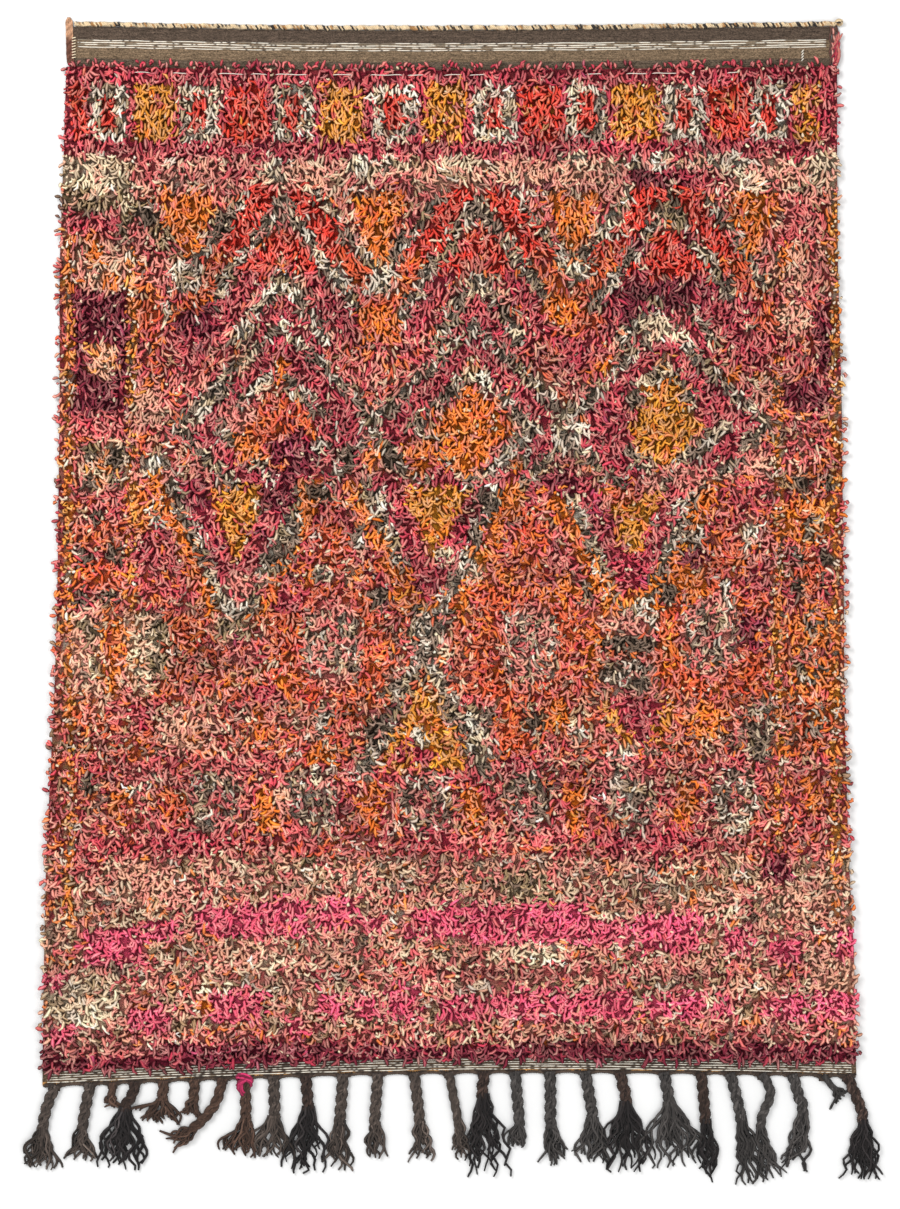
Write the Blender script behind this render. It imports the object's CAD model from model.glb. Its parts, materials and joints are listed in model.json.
import json
import math

import bpy
import numpy as np
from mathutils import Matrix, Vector, noise

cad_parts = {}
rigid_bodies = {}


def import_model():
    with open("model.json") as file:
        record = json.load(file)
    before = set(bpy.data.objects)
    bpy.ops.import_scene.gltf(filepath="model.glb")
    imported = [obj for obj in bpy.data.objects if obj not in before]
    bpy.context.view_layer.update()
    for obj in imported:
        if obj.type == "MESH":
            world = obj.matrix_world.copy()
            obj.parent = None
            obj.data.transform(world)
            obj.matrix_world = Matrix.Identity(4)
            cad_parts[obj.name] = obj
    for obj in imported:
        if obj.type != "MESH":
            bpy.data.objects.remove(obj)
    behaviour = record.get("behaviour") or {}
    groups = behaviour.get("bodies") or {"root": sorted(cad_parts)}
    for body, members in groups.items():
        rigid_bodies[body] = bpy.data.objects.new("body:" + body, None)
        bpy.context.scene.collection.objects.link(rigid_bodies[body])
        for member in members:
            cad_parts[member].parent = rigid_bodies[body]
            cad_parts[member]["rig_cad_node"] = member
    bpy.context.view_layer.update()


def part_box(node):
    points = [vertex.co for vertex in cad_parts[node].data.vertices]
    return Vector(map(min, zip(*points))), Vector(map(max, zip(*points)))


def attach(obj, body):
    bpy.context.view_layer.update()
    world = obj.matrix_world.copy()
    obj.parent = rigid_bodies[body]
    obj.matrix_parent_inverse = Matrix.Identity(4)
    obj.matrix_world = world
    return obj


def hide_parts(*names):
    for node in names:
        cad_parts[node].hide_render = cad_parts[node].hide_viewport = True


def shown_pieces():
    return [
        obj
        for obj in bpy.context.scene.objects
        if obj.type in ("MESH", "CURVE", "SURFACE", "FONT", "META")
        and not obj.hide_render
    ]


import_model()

# A vintage Moroccan shag rug seen from straight above: curly wool ends over a knotted ground,
# flat-woven bands at both ends, a twined head cord and 26 plaited braids along the foot.
# Metres everywhere, except in the motif, which is in centimetres: across from the middle line
# and down from the head line.

bpy.ops.object.select_all(action="DESELECT")
bpy.context.scene.view_settings.view_transform = "Standard"

rug = {
    "seed": 26,
    "headLine": 1.166,        # y of the head line
    "headCordDepth": 0.0152,  # room that the head cord takes before the cloth starts
    "headSag": 0.009,         # how far the head edge dips between its corners
    "headSagAt": 0.43,        # share of the width where the head edge dips most
    "footLine": -1.146,       # the foot edge at its highest point
    "footDropLeft": 0.031,    # how far the left corner hangs below it
    "footDropRight": 0.009,   # and the right corner
    "footTopAt": 0.62,        # share of the width where the foot edge is highest
    "headBand": 0.086,        # depth of the flat weave at the head
    "footBand": 0.029,        # depth of the flat weave at the foot
    "headInset": (0.018, 0.019),  # the flat band is narrower than the pile, left and right
    "footInset": 0.004,       # the same at the foot, on both sides
    "shoulder": 0.010,        # the pile starts this far past a flat band
    "pileThick": 0.0195,      # from the floor to the wool's top
    # down from the head line, then how far the left and right sides lie from the middle
    "sides": [(0.00, 0.843, 0.858), (0.10, 0.845, 0.857), (0.29, 0.851, 0.857),
              (0.55, 0.860, 0.859), (0.84, 0.860, 0.867), (1.28, 0.865, 0.872),
              (1.50, 0.872, 0.873), (1.83, 0.889, 0.882), (2.05, 0.894, 0.894),
              (2.35, 0.898, 0.900)],
}
dice = np.random.default_rng(rug["seed"])
sideTable = np.array(rug["sides"])


def sidesAt(y):
    # how far the left and right sides lie from the middle line
    down = rug["headLine"] - y
    left = np.interp(down, sideTable[:, 0], sideTable[:, 1])
    return left, np.interp(down, sideTable[:, 0], sideTable[:, 2])


def arch(share, peakAt):
    # 0 at both ends and 1 at the peak
    half = np.where(share < peakAt, share / peakAt, (1.0 - share) / (1.0 - peakAt))
    return np.sin(half * math.pi / 2.0)


def headEdge(share):
    return rug["headLine"] - rug["headCordDepth"] - rug["headSag"] * arch(share, rug["headSagAt"])


def footEdge(share):
    drop = np.where(share < rug["footTopAt"], rug["footDropLeft"], rug["footDropRight"])
    return rug["footLine"] - drop * (1.0 - arch(share, rug["footTopAt"]))


def footEdgeAt(x):
    left, right = sidesAt(rug["footLine"])
    return footEdge((x + left) / (left + right))


def softField(across, down, size, layer):
    # smooth noise about 0 with lumps of a given size; each layer is a noise of its own
    return np.array([noise.noise(Vector((a / size, d / size, layer)))
                     for a, d in zip(np.ravel(across), np.ravel(down))]).reshape(across.shape)


def softStep(value, low, high):
    # from 0 below low to 1 above high, without a corner
    share = np.clip((value - low) / (high - low), 0.0, 1.0)
    return share * share * (3.0 - 2.0 * share)


def linear(red, green, blue):
    # a colour as seen on a screen, 0 to 255, as linear light
    values = np.array([red, green, blue]) / 255.0
    return np.where(values <= 0.04045, values / 12.92, ((values + 0.055) / 1.055) ** 2.4)


# Yarn colours and the pattern

yarnColors = {
    "wine": linear(122, 28, 52),
    "crimson": linear(178, 42, 68),
    "magenta": linear(176, 58, 98),
    "rose": linear(208, 82, 88),
    "dusty": linear(220, 130, 118),
    "peach": linear(234, 168, 138),
    "cream": linear(226, 204, 170),
    "white": linear(224, 214, 196),
    "red": linear(214, 46, 32),
    "rust": linear(206, 80, 38),
    "orange": linear(238, 120, 24),
    "mustard": linear(222, 146, 38),
    "olive": linear(146, 124, 86),
    "charcoal": linear(92, 76, 63),
    "hotPink": linear(242, 84, 118),
}
yarnNames = list(yarnColors)
yarnTable = np.array([yarnColors[name] for name in yarnNames])

# What the weaver takes from the basket for each part of the pattern
mixes = {
    "crimson": {"crimson": 6, "rose": 4.4, "wine": 1.2, "magenta": 0.6, "dusty": 0.5},
    "wine": {"wine": 7, "crimson": 3, "magenta": 1, "charcoal": 0.4},
    "rose": {"rose": 6, "dusty": 3.4, "crimson": 1.4, "peach": 1, "magenta": 0.4},
    "blush": {"dusty": 6, "peach": 3.4, "rose": 2.2, "cream": 0.6},
    "fleece": {"dusty": 4, "peach": 3, "cream": 3, "olive": 1.7, "rose": 2.0, "white": 0.9,
               "charcoal": 0.5},
    "dusty": {"dusty": 5, "rose": 3, "peach": 2, "cream": 1.2, "olive": 0.5},
    "peach": {"peach": 5, "dusty": 3.5, "cream": 2.2, "orange": 0.3},
    "cream": {"cream": 5, "peach": 3, "white": 1.2, "dusty": 1, "olive": 1},
    "white": {"white": 4, "cream": 3, "olive": 1.8, "charcoal": 1.2, "dusty": 0.8},
    "frame": {"white": 4.6, "cream": 2.4, "olive": 2.6, "charcoal": 1.6, "dusty": 0.5},
    "comb": {"charcoal": 4.2, "white": 2.4, "cream": 1.6, "olive": 1.8, "dusty": 0.8,
             "rose": 0.4},
    "mossy": {"olive": 5, "charcoal": 2.4, "cream": 1.2, "peach": 0.8},
    "charcoal": {"charcoal": 7, "olive": 1.6, "white": 0.6, "wine": 0.4},
    "red": {"red": 8, "rust": 1.2, "rose": 1.4, "dusty": 0.5},
    "rust": {"rust": 5, "red": 0.9, "orange": 2.2, "rose": 1.6, "crimson": 0.5, "dusty": 1.0},
    "orange": {"orange": 6.4, "rust": 2.0, "mustard": 1.4, "dusty": 0.8, "rose": 0.6},
    "mustard": {"mustard": 6, "orange": 3, "rust": 0.8, "crimson": 0.5},
    "mustardBox": {"mustard": 6, "orange": 2, "crimson": 1.2, "rust": 0.8},
    "redBox": {"red": 6, "rust": 1.4, "mustard": 1.3, "rose": 0.8},
    "sunny": {"orange": 3, "mustard": 1.6, "peach": 3, "cream": 3, "white": 0.6},
    "dotted": {"orange": 4, "mustard": 3, "white": 1.8, "olive": 1.2, "charcoal": 0.5},
    "mixed": {"dusty": 4.0, "rose": 3.6, "peach": 2.6, "cream": 1.2, "charcoal": 1.5, "olive": 1.7,
              "orange": 1.8, "crimson": 3.4, "rust": 2.2, "white": 0.5, "wine": 0.8},
    "mixedRose": {"rose": 4.0, "dusty": 3.0, "crimson": 4.8, "charcoal": 1.1, "white": 0.4,
                  "peach": 2.0, "orange": 1.9, "rust": 2.2, "olive": 1.1, "wine": 1.4},
    "mixedRust": {"rust": 4.4, "dusty": 3.2, "rose": 2.8, "orange": 2.4, "charcoal": 2.1,
                  "white": 0.6, "cream": 1.1, "olive": 2.2, "peach": 2.1, "crimson": 2.4,
                  "wine": 1.2},
    "oldPeach": {"peach": 3.6, "dusty": 4.2, "olive": 3.1, "cream": 3.0, "orange": 1.9, "rose": 2.6,
                 "charcoal": 1.2, "white": 1.4, "crimson": 2.2},
    "pinkBand": {"hotPink": 9, "rose": 1.6, "magenta": 0.4, "dusty": 0.4, "olive": 0.2},
}

# The pattern from the ground up: whatever comes later lies over what came before
bands = [  # from, to, mix
    (0.0, 30.4, "crimson"), (30.4, 38.0, "fleece"), (38.0, 61.0, "mixed"),
    (61.0, 78.0, "mixedRose"), (78.0, 104.0, "mixed"), (104.0, 130.0, "mixedRose"),
    (130.0, 162.0, "mixedRust"), (162.0, 184.0, "mixedRose"), (184.0, 226.0, "oldPeach"),
    (225.0, 240.0, "wine"),
]

boxRow = {  # boxes with a core of another mix; a box is: across, half its width, kind
    "middle": 20.3, "halfDown": 5.9, "core": (0.40, 0.70),
    # for each kind, the mixes of the box and its core, and how strong the core is
    "mixOf": {"w": ("frame", "red", 0.8), "m": ("mustardBox", "mustardBox", 0.1),
              "r": ("redBox", "rust", 0.35)},
    "boxes": [(-81.2, 1.6, "r"), (-74.6, 3.8, "w"), (-64.6, 4.6, "m"), (-54.8, 4.3, "w"),
              (-44.6, 4.5, "r"), (-34.4, 4.5, "w"), (-23.8, 4.7, "m"), (-12.2, 5.0, "w"),
              (-1.0, 4.3, "m"), (9.9, 4.7, "w"), (20.5, 4.5, "r"), (30.3, 4.3, "w"),
              (41.2, 4.8, "m"), (51.5, 4.1, "w"), (61.4, 4.5, "r"), (70.3, 3.7, "w"),
              (78.2, 2.8, "m")],
}

# Rows of nested figures. A stripe is: apex, from, to, thick, mix, all down the rug
upperRow = {  # mountains with orange wedges hanging between them
    "middles": (-36.5, 6.5, 48.0), "lean": 0.70,
    "stripes": [(27.2, 38.6, 57.5, 2.6, "comb"), (33.2, 38.6, 53.0, 5.4, "red"),
                (33.2, 53.0, 66.5, 4.6, "rust"), (40.0, 40.0, 66.0, 3.0, "comb"),
                (46.8, 48.4, 56.5, 4.2, "red"), (46.8, 56.5, 68.0, 3.8, "crimson"),
                (56.6, 56.6, 70.5, 3.0, "comb"), (63.4, 64.4, 73.0, 4.2, "crimson")],
    "wedges": (-57.4, -15.4, 27.4, 66.4), "wedgeTop": 38.4, "wedgePoint": 55.0, "wedgeLean": 0.38,
}

lozengeRow = {
    "centres": ((-37.4, 89.5), (5.5, 89.5), (47.0, 89.5)), "fills": ("rust", "orange", "mustard"),
    "outlines": ((22.4, 3.0, "comb"), (18.0, 4.2, "crimson"), (13.2, 3.0, "comb")), "core": 9.4,
    "wedges": (-57.0, 28.0, 66.4), "wedgeTop": 69.6, "wedgePoint": 78.6, "wedgeLean": 0.72,
}

latticeRow = {  # points hang down, with small hills between them
    "middles": (-46.4, -3.4, 40.2), "lean": 0.46,
    "stripes": [(141.5, 102.5, 130.0, 3.2, "orange"), (133.5, 102.5, 130.5, 3.4, "comb"),
                (125.5, 102.5, 124.0, 4.4, "crimson")],
    "wedgeTop": 103.0, "wedgePoint": 119.0,
    "hills": (-25.4, 17.2, 60.6), "hillPoint": 105.5, "hillBase": 122.0, "hillLean": 0.32,
}

medallionRow = {
    "centres": ((-25.6, 137.0), (17.8, 137.5), (57.6, 135.5)),
    "half": (11.6, 12.2), "inner": (6.6, 10.0), "teeth": (-4.8, -1.6, 1.6, 4.8), "high": 6.4,
    "toothThick": 1.5, "eye": (1.6, 2.0), "strength": 0.8,
}

roundRow = {
    "centres": (-51.6, -29.2, -5.2, 17.0, 39.6, 62.6), "down": 172.0, "half": (5.6, 7.6),
    "between": (-40.3, -17.6, 5.4, 28.0, 51.8), "oval": (2.5, 5.4), "ovalLower": 1.4,
    "eye": (1.8, 2.2), "strength": 0.62,
}

pinkRows = [  # from and to across, down, thick
    (-80.0, -67.0, 203.6, 7.4), (-66.0, -60.0, 200.0, 4.6), (-56.0, -45.0, 198.4, 6.0),
    (-46.0, -31.0, 197.6, 7.6), (-29.0, -20.4, 196.4, 6.6), (-18.6, -14.4, 198.8, 4.4),
    (-9.6, 5.0, 198.4, 6.6), (5.0, 30.0, 198.4, 8.0), (30.4, 40.0, 200.4, 5.4),
    (41.0, 55.0, 200.6, 8.2), (60.4, 66.4, 202.0, 6.6), (70.4, 77.4, 204.8, 5.6),
    (85.8, 89.4, 203.4, 6.0),
    (-70.0, -61.0, 219.6, 4.6), (-52.0, -40.4, 217.0, 6.6), (-28.6, -23.6, 216.8, 5.0),
    (-20.4, -17.0, 217.4, 4.4), (-14.0, -6.0, 216.4, 6.6), (-2.4, 8.0, 217.4, 5.4),
    (9.4, 40.4, 216.4, 6.4), (43.0, 48.4, 216.6, 5.4), (50.4, 56.0, 216.8, 5.6),
    (57.4, 62.0, 217.4, 5.0), (69.6, 79.0, 217.4, 5.6), (80.4, 88.4, 216.8, 6.2),
]

borders = {
    "lines": [((-83.4, 48.0), (-83.4, 200.0)), ((-69.7, 51.0), (-69.7, 129.0)),
              ((84.5, 40.0), (84.9, 196.0)), ((72.4, 76.0), (72.6, 180.0))],
    "thick": 1.8, "ring": (2.2, 3.6), "ringCore": (0.9, 1.8), "mark": (1.4, 1.9),
    "rings": ((80.0, 112.0), (79.6, 132.6), (80.6, 153.6), (79.4, 143.0)),
    "marks": ((-79.0, 94.8), (-73.2, 95.6), (-79.0, 101.8), (-73.6, 101.2), (-77.0, 109.4),
              (-80.3, 118.2), (-74.0, 118.0), (-80.6, 126.8), (-74.2, 126.6), (77.0, 118.8),
              (82.6, 118.8), (76.8, 124.4), (82.4, 124.4), (77.4, 101.6), (82.6, 102.4)),
}

# Figures that stand alone: a mountain under the middle medallions, a wedge, and a square
# with a bright eye at the left side
loneFigures = {
    "hill": (-5.4, 145.0, 164.0, 0.50, "mustard", 0.85),     # middle, point, base, lean, mix
    "hillEdge": (138.5, 139.0, 166.0, 3.4, "comb"),          # a stripe, as in the rows
    "wedge": (42.2, 160.0, 149.4, 0.66, "crimson", 0.90),
    "square": (-76.8, 73.4, 7.0, 13.6, "wine", 0.80),        # across, down, its half sizes, mix
    "eye": (-76.2, 74.8, 4.0, 4.4, "sunny", 0.95),
}

# Single patches, row by row: across, down, half across, half down, mix, how strong
patches = [
    (-78.0, 33.6, 8.0, 4.2, "cream", 0.8), (-65.0, 32.6, 4.6, 3.0, "rose", 0.75),
    (-54.5, 34.2, 5.6, 3.2, "dusty", 0.6), (-45.4, 33.4, 4.2, 3.4, "crimson", 0.6),
    (-38.6, 32.6, 3.4, 2.8, "white", 0.8), (-31.4, 34.2, 4.6, 3.4, "peach", 0.8),
    (-19.6, 32.2, 3.2, 3.0, "white", 0.75), (-13.6, 31.8, 3.0, 2.2, "white", 0.6),
    (-12.2, 36.4, 4.6, 1.6, "crimson", 0.75), (3.6, 32.8, 5.2, 3.4, "cream", 0.8),
    (16.6, 33.2, 8.8, 2.9, "peach", 0.95), (30.6, 33.4, 6.6, 3.2, "peach", 0.85),
    (27.0, 30.6, 4.0, 1.8, "white", 0.6), (44.6, 31.2, 5.0, 2.2, "white", 0.8),
    (56.0, 30.6, 4.2, 2.4, "white", 0.65), (46.4, 34.8, 8.2, 2.2, "wine", 0.8),
    (57.0, 35.0, 5.0, 2.2, "crimson", 0.75), (63.0, 31.4, 2.6, 2.8, "white", 0.75),
    (82.0, 32.8, 3.6, 4.6, "cream", 0.75), (16.6, 36.4, 7.6, 0.8, "wine", 0.7),
    (-79.0, 39.8, 7.0, 2.4, "mossy", 0.6), (-77.0, 44.8, 6.0, 2.4, "crimson", 0.9),
    (-71.0, 42.0, 1.3, 8.4, "mossy", 0.8), (-66.6, 42.2, 2.9, 2.9, "charcoal", 0.97),
    (-67.0, 47.4, 3.4, 2.2, "rose", 0.75), (-75.0, 54.6, 7.6, 5.2, "peach", 0.85),
    (-78.0, 50.6, 1.7, 3.4, "orange", 0.85), (-74.4, 57.2, 2.4, 1.7, "orange", 0.8),
    (-49.6, 44.8, 2.2, 3.0, "charcoal", 0.8), (-63.4, 47.6, 2.0, 3.0, "mossy", 0.7),
    (-57.4, 56.4, 4.8, 4.4, "white", 0.6), (-10.3, 49.2, 1.9, 2.4, "charcoal", 0.9),
    (-15.4, 58.0, 4.0, 3.6, "white", 0.7), (27.4, 54.4, 3.8, 3.6, "frame", 0.65),
    (36.6, 44.8, 2.4, 3.4, "comb", 0.75), (42.4, 48.8, 2.2, 1.6, "wine", 0.9),
    (52.4, 47.8, 2.0, 1.8, "wine", 0.85), (48.6, 42.4, 3.8, 3.4, "mossy", 0.6),
    (48.6, 54.6, 5.4, 2.6, "red", 0.95), (47.5, 60.2, 11.0, 3.4, "wine", 0.85),
    (38.6, 62.4, 4.2, 4.0, "wine", 0.85), (76.4, 45.0, 3.8, 4.0, "rose", 0.8),
    (75.6, 54.6, 4.4, 5.4, "peach", 0.85), (73.0, 53.0, 0.9, 5.0, "orange", 0.7),
    (-65.4, 65.2, 3.6, 4.4, "rust", 0.8), (-61.6, 64.2, 1.4, 3.0, "frame", 0.85),
    (-55.0, 66.8, 5.0, 3.4, "wine", 0.85), (-24.6, 63.8, 4.4, 3.6, "crimson", 0.7),
    (-15.8, 66.6, 4.6, 3.8, "orange", 0.9), (24.6, 63.8, 4.4, 4.2, "orange", 0.9),
    (30.6, 66.6, 3.2, 3.4, "rust", 0.85), (46.8, 68.0, 4.8, 3.0, "cream", 0.8),
    (56.6, 62.8, 4.4, 3.0, "crimson", 0.75), (65.0, 63.2, 3.6, 3.0, "crimson", 0.75),
    (75.2, 66.0, 4.2, 3.6, "peach", 0.9), (82.4, 70.0, 1.9, 9.0, "wine", 0.9),
    (-45.2, 76.0, 1.8, 2.6, "sunny", 0.95), (-37.2, 76.8, 1.6, 3.0, "orange", 0.95),
    (4.8, 75.4, 1.6, 2.4, "sunny", 0.95), (47.4, 75.8, 1.5, 2.4, "sunny", 0.95),
    (62.0, 78.0, 1.5, 2.4, "orange", 0.9), (67.6, 78.6, 1.8, 2.0, "sunny", 0.95),
    (34.2, 76.2, 1.6, 1.6, "orange", 0.9),
    (-66.0, 85.6, 4.6, 4.2, "peach", 0.85), (-51.0, 81.8, 2.4, 3.0, "charcoal", 0.8),
    (-46.6, 87.2, 3.6, 3.4, "blush", 0.8), (-34.8, 96.0, 5.4, 6.2, "wine", 0.80),
    (-44.6, 94.8, 3.2, 3.2, "orange", 0.8), (-26.4, 88.8, 3.0, 2.8, "crimson", 0.75),
    (-12.6, 97.2, 2.4, 3.0, "charcoal", 0.9), (-22.8, 96.2, 2.2, 2.8, "charcoal", 0.75),
    (-16.6, 96.4, 2.0, 2.4, "orange", 0.8), (-6.4, 95.4, 4.2, 4.6, "orange", 0.8),
    (3.4, 96.0, 3.6, 4.2, "orange", 0.85), (14.0, 96.8, 3.6, 2.8, "frame", 0.8),
    (14.6, 97.8, 1.3, 1.6, "orange", 0.95), (26.4, 90.8, 4.6, 3.4, "frame", 0.7),
    (36.6, 88.8, 4.0, 5.6, "crimson", 0.8), (46.8, 82.0, 5.0, 2.6, "mustard", 0.8),
    (57.4, 85.8, 2.8, 3.6, "crimson", 0.85), (53.4, 101.0, 4.8, 3.2, "blush", 0.95),
    (44.4, 101.8, 3.2, 2.8, "blush", 0.85), (78.4, 83.0, 5.0, 4.6, "wine", 0.8),
    (67.4, 97.4, 4.0, 3.0, "blush", 0.75), (-77.0, 89.0, 6.4, 3.4, "rose", 0.8),
    (-76.2, 97.6, 4.8, 5.2, "sunny", 0.85), (-64.4, 97.2, 2.8, 2.4, "frame", 0.75),
    (-54.6, 104.6, 4.6, 3.0, "wine", 0.6), (-37.4, 104.8, 4.0, 2.6, "wine", 0.9),
    (-31.6, 104.4, 1.0, 3.6, "orange", 0.85), (-27.8, 104.2, 2.8, 2.2, "charcoal", 0.8),
    (-15.4, 105.6, 2.4, 2.2, "white", 0.8), (-19.6, 113.6, 2.0, 3.2, "comb", 0.8),
    (-0.4, 117.6, 2.6, 2.8, "cream", 0.9), (6.6, 105.0, 2.8, 2.4, "charcoal", 0.85),
    (13.6, 105.2, 2.0, 3.0, "orange", 0.75), (25.2, 102.0, 5.0, 2.4, "wine", 0.85),
    (38.0, 105.0, 4.4, 1.8, "rust", 0.85), (50.6, 107.6, 3.0, 2.0, "white", 0.7),
    (55.6, 108.2, 2.4, 2.4, "orange", 0.75), (54.6, 114.0, 2.6, 2.4, "comb", 0.85),
    (53.8, 118.0, 3.4, 2.0, "wine", 0.85), (66.8, 113.6, 2.4, 2.4, "white", 0.75),
    (-67.8, 108.8, 2.2, 4.6, "orange", 0.8), (-67.0, 117.2, 3.4, 2.6, "crimson", 0.85),
    (-64.0, 108.6, 1.6, 3.6, "frame", 0.7), (-77.0, 114.0, 5.4, 3.4, "rust", 0.7),
    (-77.0, 122.6, 4.6, 3.8, "rust", 0.9), (-45.0, 123.6, 4.6, 3.2, "blush", 0.8),
    (-35.0, 127.8, 4.0, 2.8, "crimson", 0.75), (-31.2, 122.8, 1.6, 2.2, "orange", 0.95),
    (-27.4, 121.8, 2.0, 2.0, "white", 0.95), (-21.2, 122.6, 1.8, 2.0, "sunny", 0.95),
    (-15.8, 127.2, 2.4, 2.4, "charcoal", 0.9), (-5.6, 124.2, 4.4, 4.0, "crimson", 0.9),
    (10.0, 122.8, 3.6, 3.0, "orange", 0.7), (5.6, 121.8, 2.0, 2.4, "cream", 0.75),
    (24.6, 125.8, 3.4, 2.6, "orange", 0.8), (29.6, 125.8, 1.2, 3.4, "charcoal", 0.85),
    (47.4, 125.8, 1.8, 3.4, "charcoal", 0.9), (53.0, 124.8, 3.4, 3.8, "orange", 0.8),
    (61.0, 125.8, 1.6, 3.8, "comb", 0.9), (66.8, 123.8, 2.8, 3.4, "crimson", 0.75),
    (78.6, 110.0, 5.0, 6.4, "orange", 0.75), (79.6, 121.8, 3.4, 3.4, "rust", 0.85),
    (79.6, 132.6, 4.8, 4.8, "orange", 0.8), (80.0, 146.0, 4.4, 7.0, "orange", 0.6),
    (80.4, 154.0, 4.4, 5.6, "rust", 0.85), (-76.6, 139.6, 7.6, 10.4, "peach", 0.9),
    (-66.4, 139.0, 3.2, 9.0, "cream", 0.75), (-74.0, 140.0, 2.5, 9.6, "orange", 0.85),
    (-69.4, 137.0, 1.6, 8.6, "sunny", 0.90), (-78.4, 134.4, 1.8, 2.2, "mossy", 0.8),
    (-63.4, 134.6, 1.8, 3.4, "mossy", 0.8), (-78.0, 143.4, 2.0, 2.2, "mossy", 0.8),
    (-63.4, 142.2, 2.0, 3.2, "mossy", 0.8), (-57.0, 134.8, 3.4, 4.0, "rust", 0.9),
    (-47.0, 133.6, 3.8, 2.4, "mossy", 0.75), (-45.0, 138.8, 4.6, 2.8, "rose", 0.75),
    (-37.0, 135.2, 2.8, 4.6, "rust", 0.9), (-5.4, 134.8, 4.6, 3.2, "comb", 0.85),
    (38.6, 132.6, 6.2, 2.4, "blush", 0.9), (40.4, 137.0, 5.6, 1.7, "charcoal", 0.95),
    (39.6, 144.2, 6.0, 3.2, "comb", 0.8), (31.2, 138.4, 1.1, 8.0, "orange", 0.85),
    (48.2, 137.4, 1.2, 6.6, "orange", 0.85), (66.4, 134.8, 3.4, 4.4, "wine", 0.75),
    (-48.0, 145.6, 1.5, 1.6, "orange", 0.85), (-36.6, 145.6, 2.0, 1.4, "orange", 0.85),
    (-40.0, 148.8, 5.0, 2.2, "crimson", 0.65), (-12.0, 147.8, 2.4, 2.4, "comb", 0.8),
    (-67.6, 153.2, 2.6, 2.6, "crimson", 0.95), (-66.6, 159.8, 1.6, 2.6, "orange", 0.95),
    (-57.4, 156.0, 7.0, 4.4, "peach", 0.75), (-55.4, 157.2, 2.6, 1.8, "orange", 0.8),
    (-41.6, 156.2, 1.6, 2.8, "orange", 0.8), (-27.6, 154.8, 2.2, 4.2, "comb", 0.8),
    (-23.4, 154.2, 2.4, 4.2, "rust", 0.95), (-28.6, 161.6, 3.4, 2.2, "orange", 0.95),
    (-15.6, 155.8, 2.6, 3.8, "charcoal", 0.5), (-6.2, 157.8, 1.8, 2.2, "frame", 0.95),
    (5.8, 155.8, 2.4, 5.4, "comb", 0.9), (14.2, 156.2, 3.4, 6.0, "rust", 0.95),
    (18.6, 154.2, 2.0, 2.4, "charcoal", 0.75), (24.2, 152.8, 2.6, 3.4, "orange", 0.95),
    (27.8, 156.6, 1.6, 2.4, "frame", 0.85), (39.6, 160.0, 3.0, 1.8, "frame", 0.9),
    (56.8, 154.6, 4.0, 4.2, "orange", 0.9), (68.0, 156.0, 3.0, 7.6, "comb", 0.65),
    (-7.4, 161.8, 5.0, 1.8, "crimson", 0.85), (14.0, 163.8, 5.0, 1.9, "crimson", 0.85),
    (-66.0, 166.2, 6.0, 2.8, "rose", 0.85), (-50.0, 163.8, 6.0, 2.0, "rose", 0.75),
    (-29.6, 167.6, 3.8, 1.6, "rose", 0.8), (38.0, 164.2, 5.0, 2.0, "rose", 0.8),
    (-79.0, 168.0, 2.0, 2.4, "charcoal", 0.8), (-72.0, 172.2, 2.0, 5.0, "orange", 0.75),
    (-37.0, 171.2, 2.2, 3.6, "peach", 0.8), (-60.4, 173.4, 2.8, 3.6, "rust", 0.7),
    (79.8, 170.4, 3.0, 4.4, "orange", 0.6), (-56.0, 180.8, 8.0, 3.2, "crimson", 0.8),
    (-31.0, 184.8, 2.2, 1.7, "mossy", 0.9), (-3.0, 180.6, 7.0, 3.0, "crimson", 0.8),
    (44.0, 180.8, 11.0, 4.2, "crimson", 0.75), (71.6, 186.8, 3.6, 2.6, "wine", 0.9),
    (-79.6, 182.0, 4.6, 8.0, "mixedRose", 0.8), (-68.4, 190.0, 7.6, 5.0, "peach", 0.75),
    (16.7, 191.0, 8.0, 3.6, "mossy", 0.5), (79.8, 193.0, 7.0, 5.4, "peach", 0.9),
    (-41.0, 205.6, 12.0, 3.4, "peach", 0.6), (-70.6, 203.0, 2.2, 1.8, "orange", 0.85),
    (17.0, 205.0, 8.0, 3.0, "cream", 0.6), (83.6, 210.0, 6.0, 5.0, "peach", 0.8),
    (-80.6, 215.4, 8.0, 7.6, "cream", 0.7), (-86.0, 211.4, 2.6, 1.8, "pinkBand", 0.8),
    (-85.4, 223.0, 3.0, 1.8, "pinkBand", 0.8), (-33.6, 222.6, 2.4, 2.6, "pinkBand", 0.8),
    (-53.6, 216.6, 2.0, 1.8, "orange", 0.85), (-76.0, 226.6, 14.0, 2.0, "dusty", 0.75),
    (0.0, 222.8, 90.0, 2.2, "mixedRose", 0.45), (20.0, 209.6, 60.0, 1.8, "rose", 0.4),
]

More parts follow.
